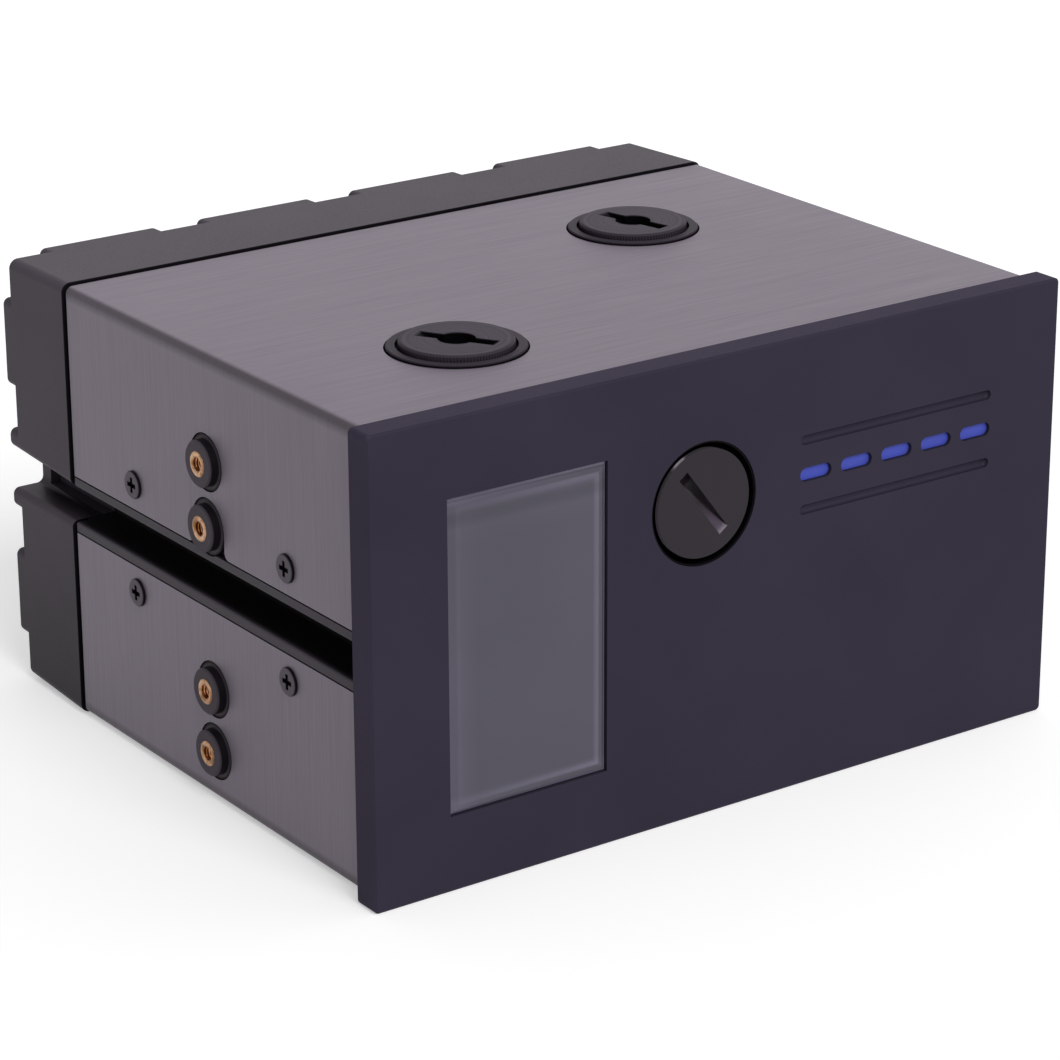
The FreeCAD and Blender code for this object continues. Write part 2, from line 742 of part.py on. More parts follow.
def make_tank():
    body = housing_piece("tank_body")
    tube = front_sketch(body, "tank_tube", TANK_FRONT)
    draw_rectangle(tube, "0", "0", f"2 * {GROOVE_X}", f"2 * {TANK_Z}")
    add(body, tube, "tank_length", TO_REAR)
    front = front_sketch(body, "tank_front_flange", TANK_FRONT)
    draw_outline(front, end_outline())
    add(body, front, "front_flange", TO_REAR)
    rear = front_sketch(body, "tank_rear_flange", TANK_BACK)
    draw_outline(rear, end_outline())
    add(body, rear, "rear_flange", TO_FRONT)

    side_features = [add_tank_rails(body)] + add_side_bosses(body)
    mirror_sides(body, side_features, "tank_left_side")

    boss_root = f"({MID_HEIGHT} + {TANK_Z} - tank_wall / 2)"
    ports = new_sketch(body, "tank_port_bosses", "XY_Plane", boss_root)
    for x, y, _ in PORTS.values():
        draw_circle(ports, x, y, "port_boss")
    add(body, ports, f"{TOP_FACE} - {PORT_SEAT} - {boss_root}", ALONG_NORMAL)

    cavity = front_sketch(body, "tank_cavity", TANK_FRONT)
    draw_rectangle(cavity, "0", "0", f"2 * {CAVITY_X}", f"2 * {CAVITY_Z}")
    cut(body, cavity, "tank_length", TO_REAR)
    fillet(body, "tank_corner", lambda edge: is_corner(edge, CAVITY_X, CAVITY_Z))
    round_flange_corners(body)
    round_ledge_edges(body)

    holes = new_sketch(body, "tank_port_holes", "XY_Plane", f"{TOP_FACE} - {PORT_SEAT}")
    for x, y, _ in PORTS.values():
        draw_circle(holes, x, y, "collar_body + 2 * port_hole_gap")
    cut(body, holes, f"{HALF_HEIGHT} - {PORT_SEAT} - {CAVITY_Z} + tank_wall / 2", AGAINST_NORMAL)

    sockets = side_sketch(body, "tank_sockets", FLANGE_X)
    recesses = side_sketch(body, "tank_flange_recesses", HALF_WIDTH)
    for z in MOUNT_ROWS:
        draw_circle(sockets, "mount_depth", z, "grommet_width + 2 * seal_gap")
        draw_circle(recesses, "mount_depth", z, "mount_hole")
    socket_cut = cut(body, sockets, "socket_depth", AGAINST_NORMAL)
    recess_cut = cut(body, recesses, f"{HALF_WIDTH} - {FLANGE_X}", AGAINST_NORMAL)
    threads = side_sketch(body, "tank_cover_threads", FLANGE_X)
    for y, z in COVER_SCREWS:
        draw_circle(threads, y, z, THREAD_HOLE)
    thread_cut = cut(body, threads, "cover_screw_length + cover_screw_sink - cover_thickness", AGAINST_NORMAL)
    mirror_sides(body, [socket_cut, recess_cut, thread_cut], "tank_left_sockets")

    clear = front_sketch(body, "tank_front_holes", TANK_FRONT)
    for x, z in FRONT_SCREWS:
        draw_circle(clear, x, z, CLEAR_HOLE)
    cut(body, clear, "front_flange", TO_REAR)
    rim = front_sketch(body, "tank_rear_holes", TANK_BACK)
    for x, z in RIM_SCREWS:
        draw_circle(rim, x, z, THREAD_HOLE)
    cut(body, rim, "rear_screw_bite + screw_run_out", TO_FRONT)


# Covers

def make_cover(label, side):
    """Folded sheet over the tank: side is 1 for the upper cover and -1 for the lower one."""
    body = housing_piece(label)
    start = "(plate_thickness + cover_end_gap)"
    edge_z = f"({LEDGE_HIGH} + cover_edge_gap)"
    inner_x = f"({HALF_WIDTH} - cover_thickness)"
    inner_z = f"({HALF_HEIGHT} - cover_thickness)"
    half = [(inner_x, inner_z), (inner_x, edge_z), (HALF_WIDTH, edge_z), (HALF_WIDTH, HALF_HEIGHT)]
    fold = front_sketch(body, f"{label}_fold", start)
    draw_outline(fold, [(x, f"{side} * ({z})") for x, z in both_sides(half)])
    add(body, fold, f"{TANK_BACK} - {start}", TO_REAR)

    fillet(body, "cover_bend", lambda edge: is_corner(edge, HALF_WIDTH, HALF_HEIGHT))
    fillet(body, "cover_bend - cover_thickness", lambda edge: is_corner(edge, inner_x, inner_z))

    holes = side_sketch(body, f"{label}_side_holes", "0")
    rows = MOUNT_ROWS[2:] if side > 0 else MOUNT_ROWS[:2]
    for z in rows:
        draw_circle(holes, "mount_depth", z, "mount_hole")
    cover_screws = COVER_SCREWS[(side + 1) // 2::2]
    for y, z in cover_screws:
        draw_circle(holes, y, z, CLEAR_HOLE)
    cut_both_ways(body, holes, "2 * body_width")
    seats = side_sketch(body, f"{label}_screw_seats", HALF_WIDTH)
    for y, z in cover_screws:
        draw_circle(seats, y, z, "cover_screw_head + 2 * cover_screw_room")
    seat_cut = cut(body, seats, "cover_screw_sink", AGAINST_NORMAL)
    mirror_sides(body, [seat_cut], f"{label}_left_seats")
    countersink = "(cover_screw_head - screw_width) / 2 - screw_clearance + screw_gap"
    chamfer(body, countersink, is_screw_seat)
    return body


def is_screw_seat(edge):
    """True for the rim of a cover screw's hole, in the floor of its round recess."""
    if edge.Curve.TypeId != "Part::GeomCircle":
        return False
    floor = f"({HALF_WIDTH} - cover_screw_sink)"
    return same(edge.Curve.Radius, f"{CLEAR_HOLE} / 2") and same(abs(edge.Vertexes[0].X), floor)


def make_covers():
    upper = make_cover("upper_cover", 1)
    holes = new_sketch(upper, "upper_cover_port_holes", "XY_Plane", TOP_FACE)
    for x, y, _ in PORTS.values():
        draw_circle(holes, x, y, "collar_flange + 2 * cover_port_gap")
    cut(upper, holes, "2 * cover_thickness", AGAINST_NORMAL)
    make_cover("lower_cover", -1)


# Rear cap

def make_rear_cap():
    """Block with draft on all its sides; it stands a little proud of the covers at the joint."""
    body = housing_piece("rear_cap")
    outline = front_sketch(body, "cap_outline", CAP_FRONT)
    half_width, half_height = f"({HALF_WIDTH} + cap_proud)", f"({HALF_HEIGHT} + cap_proud)"
    draw_outline(outline, grooved_outline(f"({HALF_WIDTH} - cap_groove_depth)", half_width, half_height))
    block = add(body, outline, "cap_depth", TO_REAR)
    block.setExpression("TaperAngle", named("-cap_draft"))

    pockets = front_sketch(body, "cap_pockets", CAP_BACK)
    across = "2 * pocket_reach"
    for x, z in up_and_down("0", HALF_HEIGHT) + four_ways("pocket_pitch", HALF_HEIGHT):
        draw_rectangle(pockets, x, z, "pocket_width", across)
    for x, z in four_ways(HALF_WIDTH, HALF_HEIGHT):
        draw_rectangle(pockets, x, z, across, across)
    for x, z in four_ways(HALF_WIDTH, "pocket_rise"):
        draw_rectangle(pockets, x, z, across, "pocket_width")
    cut(body, pockets, "pocket_depth", TO_FRONT)

    fillet(body, "cap_corner", lambda edge: runs_between(edge, CAP_FRONT, POCKET_FLOOR))
    fillet(body, "pocket_corner", lambda edge: runs_between(edge, POCKET_FLOOR, CAP_BACK))
    fillet(body, "pocket_corner", lambda edge: runs_between(edge, CAP_FRONT, CAP_BACK))
    fillet(body, "cap_rim", lambda edge: at_depth(edge, CAP_BACK))
    fillet(body, "cap_lip", lambda edge: at_depth(edge, CAP_FRONT))

    relief = front_sketch(body, "cap_groove_relief", CAP_FRONT)
    for side in SIGNS:
        draw_rectangle(relief, f"{side} * {HALF_WIDTH}", "0", "2 * groove_depth", "groove_height")
    cut(body, relief, "cap_depth - cap_groove_land", TO_REAR)
    holes = front_sketch(body, "cap_screw_holes", CAP_FRONT)
    for x, z in RIM_SCREWS:
        draw_circle(holes, x, z, CLEAR_HOLE)
    cut(body, holes, "cap_depth", TO_REAR)
    ports = front_sketch(body, "cap_ports", CAP_BACK)
    for side in SIGNS:
        draw_circle(ports, f"{side} * rear_port_spread", "-rear_port_drop", "rear_port_bore")
    cut(body, ports, "cap_depth", TO_FRONT)
    chamfer(body, "rear_port_chamfer", lambda edge: is_port_mouth(edge) and at_depth(edge, CAP_BACK))


def is_port_mouth(edge):
    return edge.Curve.TypeId == "Part::GeomCircle" and same(edge.Curve.Radius, "rear_port_bore / 2")


# Fill opening: collar, washer, cap with a coin slot and its round seal

def make_fill_opening():
    bore = "(fill_thread / 2 + thread_gap)"
    lip_radius = "(fill_collar_flange / 2)"
    body_radius = "(fill_collar_body / 2)"
    sleeve_radius = "(fill_hole / 2 - seal_gap)"
    tail = f"-({FILL_WASHER} + fill_collar_length)"
    collar = [
        (bore, tail),
        (body_radius, tail),
        (body_radius, f"-{FILL_WASHER}"),
        (lip_radius, f"-{FILL_WASHER}"),
        (lip_radius, f"-{FILL_SEAT}"),
        (sleeve_radius, f"-{FILL_SEAT}"),
        (sleeve_radius, "-fill_sleeve_setback"),
        ("fill_sleeve_bore / 2", "-fill_sleeve_setback"),
        ("fill_sleeve_bore / 2", f"-{FILL_SEAT}"),
        (bore, f"-{FILL_SEAT}"),
    ]
    turned("fill_collar", collar, FILL_PLACE, FACING_FRONT)
    ring(
        "fill_collar_washer",
        f"{body_radius} + washer_inset",
        f"{lip_radius} - washer_inset",
        f"-{FILL_WASHER_FLOOR}",
        f"-{FILL_WASHER}",
        FILL_PLACE,
        FACING_FRONT,
    )
    head = "(fill_head / 2)"
    shank = "(fill_thread / 2)"
    cap_outline = [
        ("0", f"-({FILL_HEAD_BACK} + fill_thread_length)"),
        (shank, f"-({FILL_HEAD_BACK} + fill_thread_length)"),
        (shank, f"-{FILL_HEAD_BACK}"),
        (head, f"-{FILL_HEAD_BACK}"),
        (head, "-(fill_setback + fill_edge)"),
        (f"{head} - fill_edge", "-fill_setback"),
        ("0", "-fill_setback"),
    ]
    cap = turned("fill_cap", cap_outline, FILL_PLACE, FACING_FRONT)
    disc_cut_slot(
        cap,
        "fill_cap_slot",
        "-fill_setback",
        "fill_slot_length",
        "fill_slot_width",
        "fill_slot_depth",
        "fill_slot_angle",
    )
    seal_place = (FILL_X, f"({FILL_HEAD_BACK} + {FILL_SEAT}) / 2", FILL_PLACE[2])
    seal_radius = f"{bore} + seal_section / 2 + seal_gap"
    round_seal("fill_cap_seal", seal_radius, seal_place, FACING_FRONT)


# Top ports: collar, washer, plug with a driver socket and slot, and its round seal

def make_port(side, x, y, angle):
    place = (x, y, TOP_FACE)
    bore = "(plug_thread / 2 + thread_gap)"
    flange = "(collar_flange / 2)"
    barrel = "(collar_body / 2)"
    recess = "(plug_head / 2 + plug_head_gap)"
    seal_room = f"({bore} + seal_section + 4 * seal_gap)"
    floor = "(collar_stand - collar_recess)"
    tail = f"-({COLLAR_UNDERSIDE} + collar_length)"
    collar = [
        (bore, tail),
        (barrel, tail),
        (barrel, f"-{COLLAR_UNDERSIDE}"),
        (flange, f"-{COLLAR_UNDERSIDE}"),
        (flange, "collar_stand - collar_edge"),
        (f"{flange} - collar_edge", "collar_stand"),
        (recess, "collar_stand"),
        (recess, floor),
        (seal_room, floor),
        (seal_room, f"-{PLUG_SEAL_FLOOR}"),
        (bore, f"-{PLUG_SEAL_FLOOR}"),
    ]
    turned(f"port_collar_{side}", collar, place, FACING_UP)
    ring(
        f"port_washer_{side}",
        f"{barrel} + washer_inset",
        f"{flange} - washer_inset",
        f"-{PORT_SEAT}",
        f"-{COLLAR_UNDERSIDE}",
        place,
        FACING_UP,
    )
    head = "(plug_head / 2)"
    shank = "(plug_thread / 2)"
    socket = "(plug_socket / 2)"
    socket_floor = "plug_stand - plug_socket_depth"
    tip = f"-({PLUG_HEAD_BACK} + plug_thread_length)"
    plug_outline = [
        ("0", tip),
        (shank, tip),
        (shank, f"-{PLUG_HEAD_BACK}"),
        (head, f"-{PLUG_HEAD_BACK}"),
        (head, "plug_stand - plug_edge"),
        (f"{head} - plug_edge", "plug_stand"),
        (socket, "plug_stand"),
        (socket, socket_floor),
        ("0", socket_floor),
    ]
    plug = turned(f"port_plug_{side}", plug_outline, place, FACING_UP)
    disc_cut_slot(
        plug,
        f"port_plug_{side}_slot",
        "plug_stand",
        "plug_slot_length",
        "plug_slot_width",
        "plug_slot_depth",
        angle,
    )
    seal_place = (x, y, f"{TOP_FACE} - ({PLUG_HEAD_BACK} + {PLUG_SEAL_FLOOR}) / 2")
    round_seal(f"port_seal_{side}", f"{bore} + seal_section / 2 + seal_gap", seal_place, FACING_UP)


# Side mounting points: rubber grommets with brass inserts

def make_mounts():
    face = "grommet_stand"
    radius = "(grommet_width / 2)"
    flange = "(grommet_flange / 2)"
    boss = "(cover_thickness + cover_gap)"
    back = f"-({boss} + socket_depth - seal_gap)"
    hole = "(insert_width / 2 + insert_gap)"
    hole_floor = f"{face} - insert_length - insert_gap"
    grommet_outline = [
        ("0", back),
        (radius, back),
        (radius, f"seal_gap - {boss}"),
        (flange, f"seal_gap - {boss}"),
        (flange, "-grommet_flange_setback"),
        (radius, "-grommet_flange_setback"),
        (radius, f"{face} - grommet_edge"),
        (f"{radius} - grommet_edge", face),
        (hole, face),
        (hole, hole_floor),
        ("0", hole_floor),
    ]
    grommet = turned("grommet", grommet_outline, None, FACING_UP)
    insert_end = f"{face} - insert_length"
    insert = ring("insert", "insert_bore / 2", "insert_width / 2", insert_end, face, None, FACING_UP)
    for name, sign in (("left", -1), ("right", 1)):
        places = [(f"{sign} * {HALF_WIDTH}", "mount_depth", f"{MID_HEIGHT} + {z}") for z in MOUNT_ROWS]
        rotations = [FACING_SIDE[sign]] * len(places)
        group(f"mount_grommets_{name}", grommet, places, rotations)
        group(f"mount_inserts_{name}", insert, places, rotations)


# Fasteners

def cap_screw(label, head, head_height, length):
    """Screw with a flat cylindrical head; its height is measured from under the head."""
    outline = [
        ("0", f"-({length})"),
        ("screw_width / 2", f"-({length})"),
        ("screw_width / 2", "0"),
        (f"({head}) / 2", "0"),
        (f"({head}) / 2", head_height),
        ("0", head_height),
    ]
    return turned(label, outline, None, FACING_UP)


def make_front_screws():
    length = "front_flange + front_gasket_thickness + bulkhead_thickness + screw_bite"
    screw = cap_screw("front_screw", "front_screw_head", "front_screw_head_height", length)
    depth = f"{TANK_FRONT} + front_flange"
    places = [(x, depth, f"{MID_HEIGHT} + {z}") for x, z in FRONT_SCREWS]
    group("front_screws", screw, places, [FACING_REAR] * len(places))


def hexagon(width):
    """Corners of a hexagon of this width across its flats."""
    half = f"(({width}) / 2)"
    corner = f"({half} / {COSINE_30})"
    return [
        (corner, "0"),
        (f"{corner} / 2", half),
        (f"-{corner} / 2", half),
        (f"-{corner}", "0"),
        (f"-{corner} / 2", f"-{half}"),
        (f"{corner} / 2", f"-{half}"),
    ]


def make_rear_screws():
    length = f"{POCKET_FLOOR} - {TANK_BACK} + rear_screw_bite"
    screw = cap_screw("rear_screw", "rear_screw_head", "rear_screw_head_height", length)
    key = new_sketch(screw, "rear_screw_key", "XY_Plane", "rear_screw_head_height")
    draw_outline(key, hexagon("rear_screw_key"))
    cut(screw, key, "rear_screw_key_depth", AGAINST_NORMAL)
    places = [(x, POCKET_FLOOR, f"{MID_HEIGHT} + {z}") for x, z in RIM_SCREWS]
    group("rear_cap_screws", screw, places, [FACING_REAR] * len(places))


def make_cover_screws():
    """Countersunk cross-head screws, sunk below the covers' faces."""
    top = "-cover_screw_sink"
    shank = "(screw_width / 2)"
    head = "(cover_screw_head / 2)"
    neck = f"{top} - {head} + {shank}"
    tip = "-(cover_screw_length + cover_screw_sink - screw_gap)"
    outline = [("0", tip), (shank, tip), (shank, neck), (head, top), ("0", top)]
    screw = turned("cover_screw", outline, None, FACING_UP)
    cross = new_sketch(screw, "cover_screw_recess", "XY_Plane", top)
    arm = "(cover_screw_cross / 2)"
    half = "(cover_screw_cross_width / 2)"
    draw_outline(cross, both_sides(below_and_above([(arm, half), (half, half), (half, arm)])))
    cut(screw, cross, "cover_screw_cross_depth", AGAINST_NORMAL)
    places = []
    rotations = []
    for sign in SIGNS:
        for y, z in COVER_SCREWS:
            places.append((f"{sign} * {HALF_WIDTH}", y, f"{MID_HEIGHT} + {z}"))
            rotations.append(FACING_SIDE[sign])
    group("cover_screws", screw, places, rotations)


# Checks and files

def check_features():
    """Stops if a feature failed, or a cut or an addition changed nothing."""
    for item in doc.Objects:
        if "Invalid" in item.State or "Error" in item.State:
            raise RuntimeError(f"{item.Name} failed: {item.State}")
        base = getattr(item, "BaseFeature", None)
        if base is None:
            continue
        change = item.Shape.Volume - base.Shape.Volume
        if item.TypeId == "PartDesign::Pocket" and change > -NEAR:
            raise RuntimeError(f"{item.Name} cuts nothing")
        if item.TypeId == "PartDesign::Pad" and change < NEAR:
            raise RuntimeError(f"{item.Name} adds nothing")
    for piece in pieces:
        if piece.Shape.isNull() or not piece.Shape.isValid():
            raise RuntimeError(f"{piece.Label} has no valid shape")


def write_parts():
    doc.recompute()
    check_features()
    os.makedirs("parts", exist_ok=True)
    for piece in pieces:
        piece.Shape.exportStep(f"parts/{piece.Label}.step")


make_front_plate()
make_accent_bars()
make_window()
make_bulkhead()
make_tank()
make_covers()
make_gaskets()
make_rear_cap()
make_fill_opening()
for port_side, (port_x, port_y, port_angle) in PORTS.items():
    make_port(port_side, port_x, port_y, port_angle)
make_mounts()
make_front_screws()
make_rear_screws()
make_cover_screws()
write_parts()
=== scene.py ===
import functools
import json
import math

import bmesh
import bpy
from mathutils import Matrix, Vector
from mathutils.geometry import tessellate_polygon


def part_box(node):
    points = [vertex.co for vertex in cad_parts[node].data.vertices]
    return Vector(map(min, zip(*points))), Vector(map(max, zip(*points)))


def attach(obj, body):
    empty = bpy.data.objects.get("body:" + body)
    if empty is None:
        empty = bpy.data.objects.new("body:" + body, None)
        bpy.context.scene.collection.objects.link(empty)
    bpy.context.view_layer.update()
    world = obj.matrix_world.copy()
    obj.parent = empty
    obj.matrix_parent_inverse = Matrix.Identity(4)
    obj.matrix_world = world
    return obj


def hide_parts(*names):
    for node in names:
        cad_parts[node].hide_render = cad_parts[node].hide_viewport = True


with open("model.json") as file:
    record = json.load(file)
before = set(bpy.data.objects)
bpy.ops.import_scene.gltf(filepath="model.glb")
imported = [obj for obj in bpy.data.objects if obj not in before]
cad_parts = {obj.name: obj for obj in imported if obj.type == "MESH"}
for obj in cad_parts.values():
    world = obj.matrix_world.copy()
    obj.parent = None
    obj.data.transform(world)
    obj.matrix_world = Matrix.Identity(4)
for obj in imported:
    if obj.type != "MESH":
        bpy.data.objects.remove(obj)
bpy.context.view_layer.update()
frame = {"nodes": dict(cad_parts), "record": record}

MM = 0.001
NODES = frame["nodes"]
RECORD = frame["record"]
SIDES = {"left": -1, "right": 1}

# Camera solved from the photograph's perspective
CAMERA_PLACE = (-0.3843, -0.5475, 0.2828)
CAMERA_FORWARD = (0.5407, 0.7650, -0.3499)
CAMERA_RIGHT = (0.8157, -0.5784, -0.0041)
CAMERA_LENS = 129.64
CAMERA_SENSOR = 36.0
CAMERA_NEAR = 0.01

# Light: the room is darker on the left, and a broad lamp stands high in front
ROOM_LEFT = 0.25
ROOM_RIGHT = 0.78
SUN_STRENGTH = 1.55
SUN_DIRECTION = (0.06, 0.74, -0.66)
SUN_ANGLE = 32.0

# Floor, and how much paler it is where it is only looked at
FLOOR_SIZE = 12.0
FLOOR_DARK, FLOOR_PALE = 0.79, 0.81
FLOOR_LIFT = 0.40

# Tints of the reflections
COOL_TINT = (0.97, 0.85, 1.0, 1.0)
PLATE_TINT = (0.92, 0.80, 1.0, 1.0)

# From here on, lengths are in millimetres. A shade is a factor on a colour, a span is where a change of shade
# starts and ends, and a table holds pairs of a length and a shade.

# Window: place, size, and painted light: edge bands, a wavy shaded band and lines below its top, a glow at
# the left
WINDOW_X, WINDOW_Z = -42.9, 42.25
WINDOW_WIDTH, WINDOW_HEIGHT = 32.0, 56.2
PANE_EDGE = (
    (0.0, 1.8), (0.2, 1.7), (0.4, 0.66), (1.3, 0.70), (1.6, 1.75), (2.1, 1.65), (2.7, 1.05), (40.0, 1.0),
)
PANE_EDGE_AT_LEFT = 0.06
PANE_DARK_BAND = ((0.0, 1.04), (2.4, 1.04), (3.2, 0.80), (4.2, 0.82), (5.6, 1.06), (9.0, 1.0), (70.0, 1.0))
PANE_DARK_BAND_WAVE = 2.4
PANE_LINES = (
    (0.0, 1.5), (0.25, 1.5), (0.5, 0.9), (0.8, 1.35), (1.1, 1.3), (1.5, 1.0), (53.0, 1.0), (54.4, 1.30),
    (55.4, 1.20), (70.0, 1.0),
)
PANE_GLOW, PANE_GLOW_SPAN = 0.34, (0.0, 6.0)
PANE_GLOW_AT_TOP, PANE_GLOW_DROP = 0.25, 0.6

# Covers: painted shade: bends by depth and by how level the face is, then holes and notches by depth from the
# side's face
BEND_SHADE, BEND_SPAN = 0.30, (1.2, 2.7)
LEVEL_SPAN = (0.72, 0.97)
SIDE_SPAN = (1.5, 1.7)
HOLE_SHADE, HOLE_SPAN = 0.10, (-0.10, -0.02)
NOTCH_WALL_SHADE, NOTCH_WALL_FOOT, NOTCH_WALL_TOP = 0.30, (-0.05, 0.05), (1.5, 3.0)

# Notches in the upper cover's edge, where the lower grommets' holes run out
NOTCH_HALF_WIDTH, NOTCH_CORNER, NOTCH_STEPS = 5.3, 1.3, 8
NOTCH_INWARD, NOTCH_OUTWARD = 3.0, 1.0
WELD = 0.001
SHARP_ANGLE = 30.0

# Steps round a turned piece
ROUND_STEPS = 40

# Cover screws: low pan heads with (radius, height) down the side, and a cross recess. Seen from the side, the
# points of one packed screw lie within the spread.
HEAD_STAND = 0.6
HEAD_SIDE = ((2.30, 0.60), (2.48, 0.54), (2.58, 0.40), (2.60, 0.02), (2.45, 0.02), (2.45, -0.40))
CROSS_REACH, CROSS_HALF_WIDTH, CROSS_DEPTH = 1.45, 0.44, 0.75
SCREW_SPREAD = 5.0
# Painted shade on the heads' sides and in their cross
HEAD_SIDE_SHADE, HEAD_SIDE_SPAN = 0.06, (-0.12, -0.04)

# Tank: painted shade in the grooves by depth from the ledges' faces, and lighter shade on its wall behind the
# notches
GROOVE_SHADE, GROOVE_SPAN = 0.06, (-1.2, -0.05)
NOTCH_SHADE, NOTCH_SPAN = 0.75, (0.0, 0.05)

# Rear cap: painted shade at the joint line and the foot, and in the grooves' way through it
JOINT_SHADE, JOINT_SPAN = 0.10, (0.05, 0.2)
CAP_FOOT_SHADE = 0.52
CAP_GROOVE_SHADE = 0.20
CAP_GROOVE_LEVEL, CAP_GROOVE_ROOT = (0.9, 1.6), (-0.7, -0.5)
CAP_GROOVE_ASIDE, CAP_GROOVE_BEHIND = (-5.0, -0.5), (-9.0, -1.0)

# Grommets and inserts: painted shade and light, in tables that start some way below the outer face
TABLE_DEPTH = 1.0
GROMMET_SHADE = (
    (0.0, 1.0), (0.88, 1.0), (1.0, 0.08), (2.25, 0.08), (2.55, 0.9), (2.75, 1.0), (6.0, 1.0),
)
FLANGE_RIM_SHADE, FLANGE_RIM_SPAN = 0.06, (4.70, 4.85)
BRASS_SHADE = ((0.0, 1.5), (0.9, 1.5), (1.0, 0.7), (1.17, 1.0), (8.0, 1.0))
INSERT_RIM = (
    (1.28, -0.05), (1.40, 0.05), (1.62, 0.17), (1.88, 0.20), (2.12, 0.14), (2.30, 0.04), (2.36, -0.05),
)

# Top ports: lathe rings, in cycles per metre; painted shade in a plug's slot, round its head, on its shank,
# in its collar's gap
LATHE_RINGS, RING_DARK, RING_PALE = 1500.0, 0.80, 1.22
SLOT_SHADE, SLOT_SPAN = 0.05, (0.05, 0.25)
PLUG_RIM_SPAN = (-0.9, -0.5)
SOCKET_SPAN = (3.6, 3.9)
SHANK_SHADE, SHANK_SPAN = 0.80, (1.85, 1.95)
COLLAR_SHADE, COLLAR_GAP_SHADE, COLLAR_SPAN = 0.74, 0.12, (0.02, 0.30)

# Knurl round a plug's head: place below its top, radii from its root, and its painted shade by depth below
# the top
KNURL_TEETH, TOOTH_STEPS, TIP_STEPS = 110, 4, (1, 2)
KNURL_TOP, KNURL_BOTTOM = 0.35, 1.8
KNURL_SINK, KNURL_INNER, KNURL_VALLEY, KNURL_TIP = 0.05, -0.3, 0.03, 0.18
KNURL_SHADE = ((0.0, 0.62), (0.6, 0.62), (1.7, 0.06), (1.85, 0.06), (1.95, 0.80), (30.0, 0.80))

# Fill cap: painted shade on its rim, and a painted highlight on its slot's floor, paler towards the lower end
FILL_RIM_SHADE, FILL_RIM_SPAN = 0.10, (-0.32, -0.22)
FILL_SLOT_ANGLE, FILL_SLOT_HALF_WIDTH = -52.5, 1.05
FILL_SLOT_FLOOR, FILL_SLOT_DEPTH = (0.76, 0.93), (0.03, 0.12)
SLOT_HIGHLIGHT, SLOT_HIGHLIGHT_SPAN = 9.0, (1.0, 4.5)

# Threads: where each one starts, from the end or face of its piece, and its size. Flank and crest are shares
# of a pitch.
PORT_THREAD = {"start": 0.9, "radius": 6.6, "pitch": 1.337, "length": 6.2, "height": 0.14}
FILL_THREAD = {"start": 0.9, "radius": 7.9, "pitch": 1.5, "length": 8.0, "height": 0.14}
REAR_PORT_THREAD = {"start": 12.6, "pitch": 1.337, "length": 11.0, "height": -0.35}
INSERT_THREAD = {"start": 6.4, "radius": 1.25, "pitch": 0.5, "length": 5.9, "height": -0.17}
THREAD_STEPS, THREAD_FADE_STEPS = 36, 12
THREAD_FLANK, THREAD_CREST, THREAD_SINK = 0.40, 0.07, 0.08


# Node helpers

